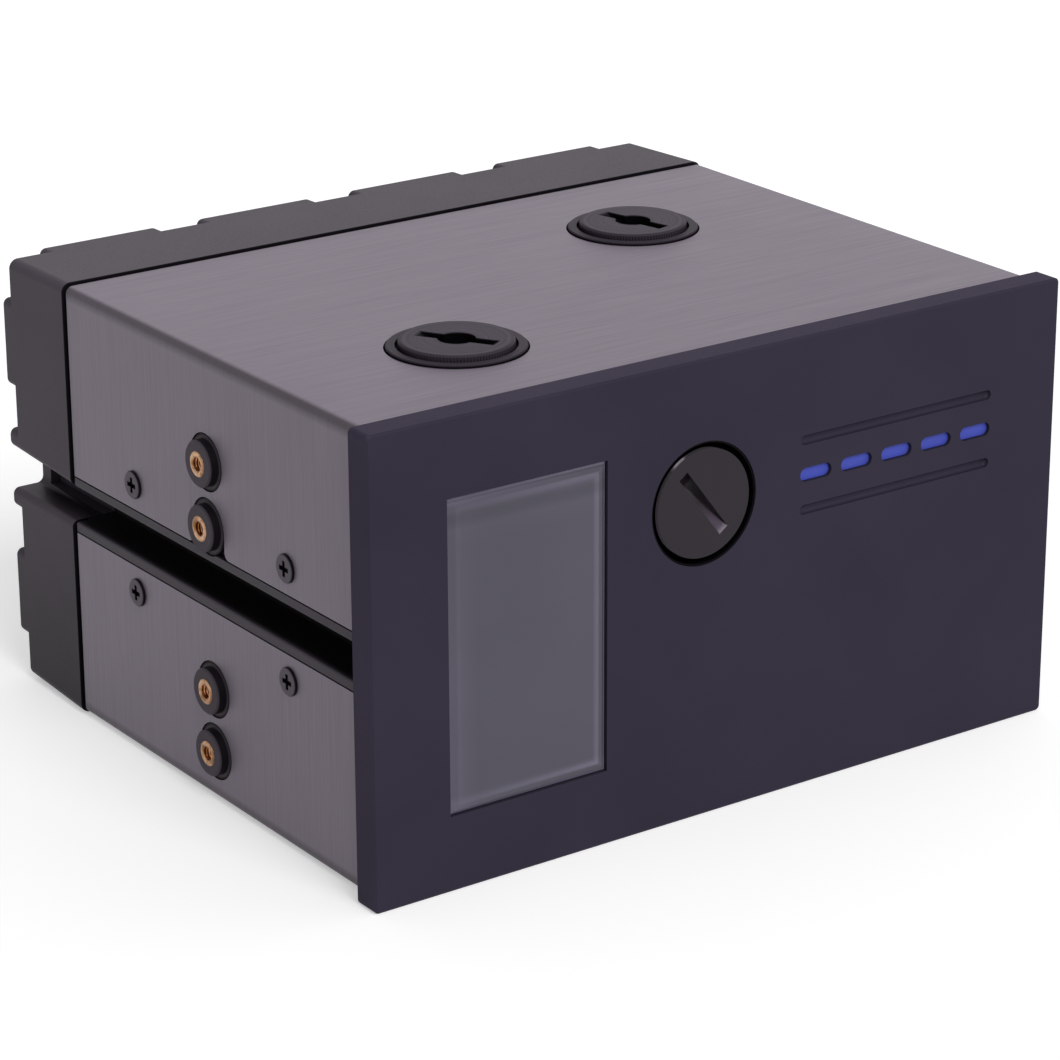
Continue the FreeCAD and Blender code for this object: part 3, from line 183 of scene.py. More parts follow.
class Shader:
    """Small writer for a material's node tree."""

    def __init__(self, name):
        self.material = bpy.data.materials.new(name)
        self.material.use_nodes = True
        self.tree = self.material.node_tree
        self.bsdf = self.tree.nodes["Principled BSDF"]
        self.coordinates = self.add("ShaderNodeTexCoord")

    def add(self, kind, **values):
        """New node, with some of its settings."""
        node = self.tree.nodes.new(kind)
        for key, value in values.items():
            setattr(node, key, value)
        return node

    def link(self, source, target):
        self.tree.links.new(source, target)

    def set(self, **values):
        """Plain values on the surface's own inputs; an underscore stands for a space."""
        for key, value in values.items():
            self.bsdf.inputs[key.replace("_", " ")].default_value = value

    def noise(self, scale, stretch=(1, 1, 1), detail=3.0, roughness=0.55):
        """Noise over the object's own coordinates, in cycles per metre."""
        mapping = self.add("ShaderNodeMapping")
        mapping.inputs["Scale"].default_value = stretch
        self.link(self.coordinates.outputs["Object"], mapping.inputs["Vector"])
        node = self.add("ShaderNodeTexNoise")
        node.inputs["Scale"].default_value = scale
        node.inputs["Detail"].default_value = detail
        node.inputs["Roughness"].default_value = roughness
        self.link(mapping.outputs["Vector"], node.inputs["Vector"])
        return node.outputs["Fac"]

    def noise_along(self, source, scale):
        """Noise that changes along one measure only, in cycles per metre."""
        node = self.add("ShaderNodeTexNoise", noise_dimensions="1D")
        node.inputs["Scale"].default_value = scale
        self.link(source, node.inputs["W"])
        return node.outputs["Fac"]

    def ramp(self, source, low, high, start=0.3, end=0.7):
        """Maps a signal between start and end to values between low and high."""
        node = self.add("ShaderNodeMapRange")
        node.inputs["From Min"].default_value = start
        node.inputs["From Max"].default_value = end
        node.inputs["To Min"].default_value = low
        node.inputs["To Max"].default_value = high
        self.link(source, node.inputs["Value"])
        return node.outputs["Result"]

    def fade(self, source, low, high, span, origin=0.0):
        """Maps a length to values between low and high over a span, from an origin in metres."""
        start, end = (origin + distance * MM for distance in span)
        return self.ramp(source, low, high, start, end)

    def look_up(self, source, table):
        """Straight-line interpolation through a table's pairs."""
        node = self.add("ShaderNodeFloatCurve")
        last = table[-1][0]
        curve = node.mapping.curves[0]
        peak = max(value for _, value in table)
        for _ in range(len(table) - 2):
            curve.points.new(0.5, 0.5)
        for dot, (place, value) in zip(curve.points, table):
            dot.location = (place / last, value / peak)
            dot.handle_type = "VECTOR"
        node.mapping.update()
        self.link(self.over(source, last), node.inputs["Value"])
        return self.times(node.outputs["Value"], peak)

    def look_up_depth(self, source, start, table):
        """Looks up in a table how many millimetres a length in metres is beyond its start."""
        depth = self.over(self.minus(source, start), MM)
        return self.look_up(self.larger(depth, 0.0), table)

    def colours(self, source, dark, light, start=0.3, end=0.7):
        """Maps a signal between start and end to colours between dark and light."""
        node = self.add("ShaderNodeValToRGB")
        first, last = node.color_ramp.elements
        first.position, last.position = start, end
        first.color = (*dark, 1)
        last.color = (*light, 1)
        self.link(source, node.inputs["Fac"])
        return node.outputs["Color"]

    def math(self, operation, *values):
        """Math node on sockets and plain numbers."""
        node = self.add("ShaderNodeMath", operation=operation)
        for slot, value in zip(node.inputs, values):
            if isinstance(value, (int, float)):
                slot.default_value = value
            else:
                self.link(value, slot)
        return node.outputs["Value"]

    def chain(self, operation, values):
        """The same operation over two or more values, one after the other."""
        return functools.reduce(functools.partial(self.math, operation), values)

    def plus(self, *values):
        return self.chain("ADD", values)

    def minus(self, first, second):
        return self.math("SUBTRACT", first, second)

    def times(self, *values):
        return self.chain("MULTIPLY", values)

    def over(self, first, second):
        return self.math("DIVIDE", first, second)

    def larger(self, *values):
        return self.chain("MAXIMUM", values)

    def smaller(self, *values):
        return self.chain("MINIMUM", values)

    def size(self, value):
        return self.math("ABSOLUTE", value)

    def diagonal(self, first, second):
        """Length of the diagonal over two sides."""
        return self.math("SQRT", self.plus(self.times(first, first), self.times(second, second)))

    def axes(self, output="Object"):
        """X, Y and Z of one of the coordinate outputs."""
        node = self.add("ShaderNodeSeparateXYZ")
        self.link(self.coordinates.outputs[output], node.inputs["Vector"])
        return node.outputs

    def scaled(self, colour, factor):
        """A colour times a factor."""
        node = self.add("ShaderNodeVectorMath", operation="SCALE")
        self.link(colour, node.inputs["Vector"])
        self.link(factor, node.inputs["Scale"])
        return node.outputs["Vector"]

    def paint(self, colour):
        self.link(colour, self.bsdf.inputs["Base Color"])

    def rough(self, value):
        self.link(value, self.bsdf.inputs["Roughness"])

    def bump(self, height, strength, distance):
        """Adds a bump, in millimetres, to those that the surface already has."""
        node = self.add("ShaderNodeBump")
        node.inputs["Strength"].default_value = strength
        node.inputs["Distance"].default_value = distance * MM
        self.link(height, node.inputs["Height"])
        previous = self.bsdf.inputs["Normal"].links
        if previous:
            self.link(previous[0].from_socket, node.inputs["Normal"])
        self.link(node.outputs["Normal"], self.bsdf.inputs["Normal"])


def shade(colour, factor):
    """A plain colour times a factor."""
    return tuple(channel * factor for channel in colour)


# Places on the part

def bay_mounts(side):
    """The record's insert mounts on one side, the lower one first."""
    return [mount for mount in RECORD["mounts"] if mount["name"].startswith(f"bay_screws_{side}")]


def half_spacing(mount):
    """Half the distance between a mount's two inserts."""
    return mount["dims"]["spacing_y_mm"] * MM / 2


def insert_rows(side):
    """Name and height of each insert on one side."""
    rows = []
    for mount in bay_mounts(side):
        height, half = mount["pos_m"][2], half_spacing(mount)
        rows += [(f"{mount['name']}_low", height - half), (f"{mount['name']}_high", height + half)]
    return rows


def insert_face(side):
    """Place of the inserts' outer faces on one side, and the depth of their middle lines."""
    low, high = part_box(f"mount_inserts_{side}")
    return low.x if side == "left" else high.x, (low.y + high.y) / 2


def cover_side():
    """Place of the covers' outer side face."""
    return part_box("upper_cover")[1].x


# Painted light: shade of places that little light reaches, and painted highlights and reflections

def cover_shade(shader):
    """Painted shade: darker bends, which fade down the sides, and darker holes, notches and edges in the
    sides.
    """
    low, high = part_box("lower_cover")[0].z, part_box("upper_cover")[1].z
    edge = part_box("upper_cover")[0].z
    place = shader.axes()
    depth = shader.minus((high - low) / 2, shader.size(shader.minus(place["Z"], (low + high) / 2)))
    bend = shader.fade(depth, BEND_SHADE, 1.0, BEND_SPAN)
    level = shader.ramp(shader.size(shader.axes("Normal")["Z"]), 0.0, 1.0, *LEVEL_SPAN)
    hole = shader.fade(shader.size(place["X"]), HOLE_SHADE, 1.0, HOLE_SPAN, cover_side())
    foot = shader.fade(place["Z"], 0.0, NOTCH_WALL_SHADE, NOTCH_WALL_FOOT, edge)
    notch = shader.times(foot, shader.fade(place["Z"], 1.0, 0.0, NOTCH_WALL_TOP, edge))
    above = shader.fade(depth, 1.0, 0.0, SIDE_SPAN)
    return shader.times(shader.larger(bend, level), shader.larger(hole, notch, above))


def from_axis(shader, node, first, second):
    """Distance from a round node's middle line, over the two coordinates across it."""
    low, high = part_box(node)
    middle = dict(zip("XYZ", (low + high) / 2))
    place = shader.axes()
    return shader.diagonal(*(shader.minus(place[axis], middle[axis]) for axis in (first, second)))


def below_top(shader, node):
    """Depth below a node's highest point."""
    return shader.minus(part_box(node)[1].z, shader.axes()["Z"])


def head_radius(node):
    """Radius of a round node."""
    low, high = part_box(node)
    return (high.x - low.x) / 2


def plug_hollows(node):
    """Painted shade in the slot and socket of a plug's head, and a little round its rim and on its shank;
    fine rings from the lathe on its face.
    """
    def hollows(shader):
        radius = from_axis(shader, node, "X", "Y")
        depth = below_top(shader, node)
        rings = shader.ramp(shader.noise_along(radius, LATHE_RINGS), RING_DARK, RING_PALE, 0.35, 0.65)
        slot = shader.fade(depth, 1.0, SLOT_SHADE, SLOT_SPAN)
        rim = shader.fade(radius, 0.0, SHANK_SHADE, PLUG_RIM_SPAN, head_radius(node))
        outside = shader.fade(radius, 0.0, SHANK_SHADE, SOCKET_SPAN)
        shank = shader.times(outside, shader.fade(depth, 0.0, 1.0, SHANK_SPAN))
        return shader.times(shader.larger(slot, rim, shank), rings)
    return hollows


def collar_hollows(node):
    """Painted shade in the gap inside a port's collar."""
    def hollows(shader):
        return shader.fade(below_top(shader, node), COLLAR_SHADE, COLLAR_GAP_SHADE, COLLAR_SPAN)
    return hollows


def knurl_hollows(shader):
    """Painted shade on a plug's knurl, darker towards the collar; its thread lies below that."""
    return shader.look_up_depth(below_top(shader, "port_plug_left"), 0.0, KNURL_SHADE)


def fill_cap_rim(shader):
    """Painted shade on the fill cap's rim, which only faces the wall of its hole, and a painted highlight in
    its slot.
    """
    radius = from_axis(shader, "fill_cap", "X", "Z")
    rim = shader.fade(radius, 1.0, FILL_RIM_SHADE, FILL_RIM_SPAN, head_radius("fill_cap"))
    return shader.times(rim, slot_painted_highlight(shader))


def slot_painted_highlight(shader):
    """A painted highlight on the floor of the fill cap's slot, paler towards its lower end."""
    low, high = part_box("fill_cap")
    centre = (low + high) / 2
    place = shader.axes()
    x, z = shader.minus(place["X"], centre.x), shader.minus(place["Z"], centre.z)
    cosine, sine = math.cos(math.radians(FILL_SLOT_ANGLE)), math.sin(math.radians(FILL_SLOT_ANGLE))
    along = shader.plus(shader.times(x, cosine), shader.times(z, sine))
    across = shader.minus(shader.times(z, cosine), shader.times(x, sine))
    floor = [share * FILL_SLOT_HALF_WIDTH for share in FILL_SLOT_FLOOR]
    inside = shader.fade(shader.size(across), 1.0, 0.0, floor)
    deep = shader.fade(shader.minus(place["Y"], low.y), 0.0, 1.0, FILL_SLOT_DEPTH)
    # Painted highlight on the slot's floor, growing towards its lower end
    highlight = shader.fade(along, 0.0, SLOT_HIGHLIGHT, SLOT_HIGHLIGHT_SPAN)
    return shader.plus(shader.times(inside, deep, highlight), 1.0)


def cap_shade(shader):
    """Painted shade on the rear cap: darker on its front face where it meets the gasket, darker towards its
    foot, and in its grooves.
    """
    low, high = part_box("rear_cap")
    place = shader.axes()
    joint = shader.fade(place["Y"], JOINT_SHADE, 1.0, JOINT_SPAN, low.y)
    foot = shader.ramp(place["Z"], CAP_FOOT_SHADE, 1.0, low.z, (low.z + high.z) / 2)
    return shader.times(joint, foot, cap_grooves(shader))


def cap_grooves(shader):
    """The rail grooves' way through the rear cap: dark inside, lit from the sides and the rear."""
    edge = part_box("rear_cap")[1]
    grooves = {row["name"]: row["box_m"] for row in RECORD["physics"]["openings"]}
    (inner, _, low), (_, _, high) = grooves["right_rail_groove"]
    place = shader.axes()
    reach = shader.size(place["X"])
    offset = shader.size(shader.minus(place["Z"], (low + high) / 2))
    level = shader.fade(offset, 1.0, 0.0, CAP_GROOVE_LEVEL, (high - low) / 2)
    within = shader.times(level, shader.fade(reach, 0.0, 1.0, CAP_GROOVE_ROOT, inner))
    aside = shader.fade(reach, CAP_GROOVE_SHADE, 1.0, CAP_GROOVE_ASIDE, edge.x)
    behind = shader.fade(place["Y"], CAP_GROOVE_SHADE, 1.0, CAP_GROOVE_BEHIND, edge.y)
    return shader.minus(1.0, shader.times(within, shader.minus(1.0, shader.larger(aside, behind))))


def groove_depths(shader):
    """Painted shade on the tank: dark inside the rail grooves, and paler on the ledges and in the upper
    cover's notches.
    """
    place = shader.axes()
    deep = shader.fade(shader.size(place["X"]), GROOVE_SHADE, 1.0, GROOVE_SPAN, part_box("tank_body")[1].x)
    notch = shader.fade(place["Z"], 0.0, NOTCH_SHADE, NOTCH_SPAN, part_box("upper_cover")[0].z)
    return shader.larger(deep, notch)


def head_sides(shader):
    """Painted shade on the sides and the cross of a cover screw's head, which are darker than its face."""
    face = cover_side() + HEAD_STAND * MM
    return shader.fade(shader.size(shader.axes()["X"]), HEAD_SIDE_SHADE, 1.0, HEAD_SIDE_SPAN, face)


def from_insert(shader):
    """Distance from the middle line of the nearest insert, by folding the four rows onto each other."""
    lower, upper = bay_mounts("right")
    _, depth, low = lower["pos_m"]
    high = upper["pos_m"][2]
    place = shader.axes()
    rise = shader.minus(place["Z"], (low + high) / 2)
    for step in ((high - low) / 2, half_spacing(lower)):
        rise = shader.minus(shader.size(rise), step)
    return shader.diagonal(rise, shader.minus(place["Y"], depth))


def grommet_wall(shader):
    """Painted shade on a grommet: dark on its wall, between its flange and its face, and round the flange's
    rim.
    """
    reach = shader.size(shader.axes()["X"])
    wall = shader.look_up_depth(reach, cover_side() - TABLE_DEPTH * MM, GROMMET_SHADE)
    return shader.times(wall, shader.fade(from_insert(shader), 1.0, FLANGE_RIM_SHADE, FLANGE_RIM_SPAN))


def edge_distance(shader):
    """Distance from the nearest edge of the window's cut-out, in millimetres."""
    place = shader.axes()
    reach = []
    for axis, middle, half in (("X", WINDOW_X, WINDOW_WIDTH / 2), ("Z", WINDOW_Z, WINDOW_HEIGHT / 2)):
        offset = shader.size(shader.minus(place[axis], middle * MM))
        reach.append(shader.over(shader.minus(half * MM, offset), MM))
    return shader.smaller(*reach)


def pane_painted_light(shader):
    """Painted light on the pane: bands of painted highlight and shade along its edge, a painted glow at its
    left, and a wavy band of painted shade and painted highlight lines below its top.
    """
    left = (WINDOW_X - WINDOW_WIDTH / 2) * MM
    top = WINDOW_Z + WINDOW_HEIGHT / 2
    place = shader.axes()
    shine = shader.fade(place["X"], PANE_GLOW, 0.0, PANE_GLOW_SPAN, left)
    fall = shader.fade(place["Z"], 1.0, PANE_GLOW_AT_TOP, (-PANE_GLOW_DROP * WINDOW_HEIGHT, 0.0), top * MM)
    glow = shader.plus(shader.times(shine, fall), 1.0)
    strength = shader.fade(place["X"], PANE_EDGE_AT_LEFT, 1.0, (0.0, WINDOW_WIDTH), left)
    edges = shader.minus(shader.look_up(edge_distance(shader), PANE_EDGE), 1.0)
    bands = shader.plus(shader.times(edges, strength), 1.0)
    # Wavy band of painted shade below the top, and painted highlight lines
    wave = shader.times(shader.minus(shader.noise(55.0, detail=1.0), 0.5), PANE_DARK_BAND_WAVE)
    drop = shader.minus(top, shader.over(place["Z"], MM))
    dark_band = shader.look_up(shader.plus(drop, wave), PANE_DARK_BAND)
    lines = shader.look_up(drop, PANE_LINES)
    return shader.times(bands, glow, lines, dark_band)


# Materials

def anodised_plate():
    """Fine blasted, black anodised aluminium."""
    shader = Shader("anodised_plate")
    base = (0.0385, 0.0335, 0.0525)
    cloud = shader.noise(35.0, detail=2.0)
    grit = shader.noise(5200.0, detail=1.0)
    shader.paint(shader.colours(cloud, shade(base, 0.93), shade(base, 1.07)))
    shader.rough(shader.ramp(grit, 0.44, 0.56))
    shader.set(Metallic=0.3, Specular_IOR_Level=0.01, Specular_Tint=PLATE_TINT)
    shader.bump(grit, strength=0.10, distance=0.04)
    return shader.material


def brushed_cover():
    """Brushed, dark anodised sheet: the grain runs across the depth on every face."""
    shader = Shader("brushed_cover")
    base = (0.165, 0.140, 0.176)
    fine = shader.noise(1.0, stretch=(60, 4600, 60), detail=4.0, roughness=0.7)
    broad = shader.noise(1.0, stretch=(45, 1500, 45), detail=3.0)
    sheet = shader.colours(fine, shade(base, 0.86), shade(base, 1.12), 0.25, 0.75)
    shader.paint(shader.scaled(sheet, cover_shade(shader)))
    shader.rough(shader.ramp(broad, 0.36, 0.47))
    shader.set(Metallic=0.15, Specular_IOR_Level=0.4, Specular_Tint=COOL_TINT)
    shader.bump(fine, strength=0.16, distance=0.03)
    shader.bump(broad, strength=0.05, distance=0.04)
    return shader.material


def machined(name, base, rough, specular, hollows=None):
    """Machined plastic, rubber or dark metal with a faint cutter texture, and painted shade in its hollows,
    with a painted highlight in the fill cap's slot.
    """
    shader = Shader(name)
    cloud = shader.noise(60.0, detail=2.0)
    fine = shader.noise(2600.0, detail=2.0)
    sheet = shader.colours(cloud, shade(base, 0.94), shade(base, 1.06))
    shader.paint(shader.scaled(sheet, hollows(shader)) if hollows else sheet)
    shader.rough(shader.ramp(fine, rough - 0.05, rough + 0.05))
    shader.set(Specular_IOR_Level=specular, Specular_Tint=COOL_TINT)
    shader.bump(fine, strength=0.12, distance=0.04)
    return shader.material


def smoked_acrylic():
    """Polished clear acrylic over the dark inside of the tank, with painted highlights, shade and glow."""
    shader = Shader("smoked_acrylic")
    base = (0.089, 0.081, 0.118)
    haze = shader.noise(40.0, detail=2.0)
    sheet = shader.colours(haze, shade(base, 0.94), shade(base, 1.06))
    shader.paint(shader.scaled(sheet, pane_painted_light(shader)))
    shader.rough(shader.ramp(haze, 0.05, 0.08))
    shader.set(Transmission_Weight=0.25, IOR=1.49, Specular_IOR_Level=0.4)
    return shader.material


def brass():
    """Turned brass, with painted light inside an insert's hole, painted shade at the edge of the hole, and
    paler on its rim.
    """
    shader = Shader("brass_insert")
    fine = shader.noise(1.0, stretch=(400, 3000, 3000), detail=2.0)
    blotch = shader.noise(650.0, detail=1.0)
    turned = shader.colours(blotch, (0.23, 0.105, 0.041), (0.50, 0.297, 0.177), 0.36, 0.64)
    start = insert_face("right")[0] - TABLE_DEPTH * MM
    # Painted light in the hole, painted shade at its edge, full colour on the rim
    crown = shader.look_up_depth(shader.size(shader.axes()["X"]), start, BRASS_SHADE)
    shader.paint(shader.scaled(turned, crown))
    shader.rough(shader.ramp(fine, 0.22, 0.34))
    shader.set(Metallic=1.0)
    shader.bump(fine, strength=0.1, distance=0.03)
    return shader.material


# Colour, roughness, reflection and hollows (painted shade, and a painted highlight in the fill cap's slot) of
# each machined finish
PORT_METAL = ((0.0600, 0.0490, 0.0665), 0.36, 0.02)
MACHINED = {
    "black_acetal": ((0.0470, 0.0395, 0.0505), 0.42, 0.12, groove_depths),
    # shaded_acetal: acetal darkened with painted shade, for the fill cap's collar deep in its hole
    "shaded_acetal": ((0.0022, 0.0018, 0.0024), 0.5, 0.05),
    "cap_plastic": ((0.0620, 0.0505, 0.0655), 0.42, 0.06, cap_shade),
    "gloss_cap": ((0.0060, 0.0045, 0.0068), 0.13, 0.33, fill_cap_rim),
    "port_metal": (*PORT_METAL, knurl_hollows),
    "grommet_rubber": ((0.0575, 0.0480, 0.0585), 0.6, 0.12, grommet_wall),
    "seal_rubber": ((0.010, 0.010, 0.011), 0.6, 0.03),
    "black_screws": ((0.027, 0.024, 0.029), 0.36, 0.25),
    # screw_heads: black heads given a paler colour, a painted reflection of the pale room, and painted shade
    # on their sides
    "screw_heads": ((0.098, 0.081, 0.103), 0.34, 0.08, head_sides),
    "blue_inlay": ((0.053, 0.075, 0.44), 0.45, 0.25),
}
FINISHES = {name: machined(name, *row) for name, row in MACHINED.items()}
FINISHES["anodised_plate"] = anodised_plate()
FINISHES["brushed_cover"] = brushed_cover()
FINISHES["smoked_acrylic"] = smoked_acrylic()
FINISHES["brass_insert"] = brass()


def node_finishes():
    """Finishes of the nodes that don't look like the rest of their slot; the fill cap's collar is darkened
    with painted shade.
    """
    finishes = {"fill_collar": FINISHES["shaded_acetal"], "front_gasket": FINISHES["black_acetal"]}
    for side in SIDES:
        plug, collar = f"port_plug_{side}", f"port_collar_{side}"
        finishes[plug] = machined(f"{plug}_metal", *PORT_METAL, plug_hollows(plug))
        finishes[collar] = machined(f"{collar}_metal", *PORT_METAL, collar_hollows(collar))
    return finishes


def dress_nodes():
    """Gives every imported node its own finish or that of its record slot."""
    special = node_finishes()
    for entry in RECORD["subparts"]:
        finish = special.get(entry["node"], FINISHES[entry["material_slot"]])
        materials = NODES[entry["node"]].data.materials
        materials.clear()
        materials.append(finish)


# Mesh helpers

def add_piece(name, vertices, faces, body, slot, smooth=True, finish=None):
    """New piece that rides on a body, with its slot's finish unless it has one of its own."""
    mesh = bpy.data.meshes.new(name)
    mesh.from_pydata(vertices, [], faces)
    mesh.polygons.foreach_set("use_smooth", [smooth] * len(mesh.polygons))
    mesh.update()
    piece = bpy.data.objects.new(name, mesh)
    bpy.context.scene.collection.objects.link(piece)
    piece.data.materials.append(finish or FINISHES[slot])
    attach(piece, body)
    return piece


def on_circle(step, steps):
    """Point on a circle of radius 1."""
    angle = 2 * math.pi * step / steps
    return math.cos(angle), math.sin(angle)


def tube_faces(rows, points, closed=True):
    """Faces between rows of points: each row is a loop, and a closed tube comes back to its first row."""
    faces = []
    for row in range(rows if closed else rows - 1):
        here, there = row * points, (row + 1) % rows * points
        for i in range(points):
            j = (i + 1) % points
            faces.append((here + i, here + j, there + j, there + i))
    return faces


def shifted(faces, start):
    """Faces for vertices that come after others."""
    return [tuple(start + vertex for vertex in face) for face in faces]


def face_outwards(mesh):
    """Welds a mesh and turns its faces outwards."""
    work = bmesh.new()
    work.from_mesh(mesh)
    bmesh.ops.remove_doubles(work, verts=work.verts, dist=WELD * MM)
    bmesh.ops.recalc_face_normals(work, faces=work.faces)
    work.to_mesh(mesh)
    work.free()


# Added pieces

def add_thread(name, origin, axis, thread, body, slot):
    """Helical ridge on a wall: its height is positive outwards and negative inwards."""
    origin, axis = Vector(origin), Vector(axis)
    across = axis.orthogonal().normalized()
    upward = axis.cross(across)
    radius, pitch, length, height = (thread[key] * MM for key in ("radius", "pitch", "length", "height"))
    sink = -math.copysign(THREAD_SINK * MM, height)
    flank, crest = THREAD_FLANK * pitch, THREAD_CREST * pitch
    section = ((False, -flank), (True, -crest), (True, crest), (False, flank))
    steps = int(length / pitch * THREAD_STEPS)
    vertices = []
    for i in range(steps + 1):
        cosine, sine = on_circle(i, THREAD_STEPS)
        spoke = across * cosine + upward * sine
        fade = min(1.0, i / THREAD_FADE_STEPS, (steps - i) / THREAD_FADE_STEPS)
        for on_crest, shift in section:
            out = radius + (height * fade if on_crest else sink)
            vertices.append(tuple(origin + spoke * out + axis * (pitch * i / THREAD_STEPS + shift)))
    points = len(section)
    faces = tube_faces(steps + 1, points, closed=False)
    faces.append(tuple(reversed(range(points))))
    faces.append(tuple(steps * points + i for i in range(points)))
    add_piece(name, vertices, faces, body, slot)


def add_knurl(side):
    """Fine straight teeth round a plug's head."""
    low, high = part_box(f"port_plug_{side}")
    centre = (low + high) / 2
    root = head_radius(f"port_plug_{side}") - KNURL_SINK * MM
    inner, valley, tip = (root + distance * MM for distance in (KNURL_INNER, KNURL_VALLEY, KNURL_TIP))
    top, bottom = high.z - KNURL_TOP * MM, high.z - KNURL_BOTTOM * MM
    steps = TOOTH_STEPS * KNURL_TEETH
    vertices = []
    for i in range(steps):
        cosine, sine = on_circle(i, steps)
        outer = tip if i % TOOTH_STEPS in TIP_STEPS else valley
        for radius, height in ((inner, bottom), (outer, bottom), (outer, top), (inner, top)):
            vertices.append((centre.x + radius * cosine, centre.y + radius * sine, height))
    faces = tube_faces(steps, len(vertices) // steps)
    add_piece(f"port_knurl_{side}", vertices, faces, f"port_{side}_turn", "port_metal", smooth=False)


def add_plug_details():
    """Threads of the three screw plugs, and the knurls of the top two."""
    for side in SIDES:
        low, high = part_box(f"port_plug_{side}")
        middle = (low + high) / 2
        start = (middle.x, middle.y, low.z + PORT_THREAD["start"] * MM)
        add_thread(f"port_thread_{side}", start, (0, 0, 1), PORT_THREAD, f"port_{side}_turn", "port_metal")
        add_knurl(side)
    low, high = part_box("fill_cap")
    middle = (low + high) / 2
    start = (middle.x, high.y - FILL_THREAD["start"] * MM, middle.z)
    add_thread("fill_thread", start, (0, -1, 0), FILL_THREAD, "fill_cap_turn", "gloss_cap")


def add_rear_port_threads():
    """Threads in the rear ports."""
    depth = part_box("rear_cap")[1].y - REAR_PORT_THREAD["start"] * MM
    for mount in RECORD["mounts"]:
        if mount["kind"] == "threaded_hole":
            start = (mount["pos_m"][0], depth, mount["pos_m"][2])
            thread = {**REAR_PORT_THREAD, "radius": mount["dims"]["r_mm"]}
            add_thread(f"{mount['name']}_thread", start, (0, 1, 0), thread, "reservoir", "cap_plastic")


def add_insert_threads():
    """Threads in the brass inserts."""
    for side, sign in SIDES.items():
        face, depth = insert_face(side)
        for name, height in insert_rows(side):
            start = (face - sign * INSERT_THREAD["start"] * MM, depth, height)
            add_thread(f"{name}_thread", start, (sign, 0, 0), INSERT_THREAD, "reservoir", "brass_insert")


def add_insert_rims():
    """Turned rims of the brass inserts, which lie on the grommets' faces."""
    ring = tube_faces(ROUND_STEPS, len(INSERT_RIM))
    for side, sign in SIDES.items():
        face, depth = insert_face(side)
        vertices = []
        faces = []
        for _, height in insert_rows(side):
            faces += shifted(ring, len(vertices))
            for i in range(ROUND_STEPS):
                cosine, sine = on_circle(i, ROUND_STEPS)
                for radius, stand in INSERT_RIM:
                    y, z = depth + radius * MM * cosine, height + radius * MM * sine
                    vertices.append((face + sign * stand * MM, y, z))
        add_piece(f"insert_rims_{side}", vertices, faces, "reservoir", "brass_insert")


def halfway(values):
    """Halfway between the least and the greatest value."""
    values = list(values)
    return (min(values) + max(values)) / 2


def screw_places():
    """Side, depth and height of each cover screw's middle line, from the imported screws."""
    screws = []
    for vertex in NODES["cover_screws"].data.vertices:
        for screw in screws:
            gap = vertex.co - screw[0]
            same_side = vertex.co.x * screw[0].x > 0
            if same_side and max(abs(gap.y), abs(gap.z)) < SCREW_SPREAD * MM:
                screw.append(vertex.co)
                break
        else:
            screws.append([vertex.co])
    places = []
    for screw in screws:
        side = math.copysign(1, screw[0].x)
        places.append((side, halfway(point.y for point in screw), halfway(point.z for point in screw)))
    return places


def cross_outline():
    """Corners of the cross recess, anticlockwise."""
    long, short = CROSS_REACH, CROSS_HALF_WIDTH
    arm = [(long, -short), (long, short), (short, short)]
    corners = []
    for turn in range(4):
        cosine, sine = on_circle(turn, 4)
        corners += [(a * cosine - b * sine, a * sine + b * cosine) for a, b in arm]
    return corners


def screw_head():
    """Points (across, up, out) and faces of one pan head with a cross recess, in millimetres."""
    circle = [on_circle(i, ROUND_STEPS) for i in range(ROUND_STEPS)]
    points = [(radius * c, radius * s, height) for radius, height in HEAD_SIDE for c, s in circle]
    faces = tube_faces(len(HEAD_SIDE), ROUND_STEPS, closed=False)
    rim = len(points)
    faces.append(tuple(range(rim - ROUND_STEPS, rim)))
    cross = cross_outline()
    count = len(cross)
    for height in (HEAD_STAND, HEAD_STAND - CROSS_DEPTH):
        points += [(across, up, height) for across, up in cross]
    faces += shifted(tube_faces(2, count, closed=False), rim)
    faces.append(tuple(range(rim + count, rim + 2 * count)))
    loops = [range(ROUND_STEPS), range(rim, rim + count)]
    flat = [[Vector((*points[vertex][:2], 0)) for vertex in loop] for loop in loops]
    order = [*loops[0], *loops[1]]
    faces += [tuple(order[vertex] for vertex in face) for face in tessellate_polygon(flat)]
    return points, faces


def add_screw_heads():
    """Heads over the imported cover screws: they fill the round recesses and stand out of them."""
    points, head = screw_head()
    cover = cover_side()
    vertices = []
    faces = []
    for side, y, z in screw_places():
        faces += shifted(head, len(vertices))
        vertices += [(side * (cover + out * MM), y + across * MM, z + up * MM) for across, up, out in points]
    # The heads' paler colour is a painted reflection of the pale room on black heads
    finish = FINISHES["screw_heads"]
    piece = add_piece("cover_screw_heads", vertices, faces, "reservoir", "black_screws", False, finish)
    face_outwards(piece.data)


def notch_outline(depth, top, edge):
    """Outline (depth, height) of one notch: straight sides that flare out at the sheet's edge."""
    flare = []
    for i in range(NOTCH_STEPS + 1):
        cosine, sine = on_circle(i, 4 * NOTCH_STEPS)
        across = NOTCH_HALF_WIDTH + NOTCH_CORNER * (1 - sine)
        flare.append((across * MM, edge + NOTCH_CORNER * (1 - cosine) * MM))
    below = (flare[0][0], edge - NOTCH_CORNER * MM)
    half = [below] + flare + [(NOTCH_HALF_WIDTH * MM, top)]
    return [(depth + y, z) for y, z in half] + [(depth - y, z) for y, z in reversed(half)]


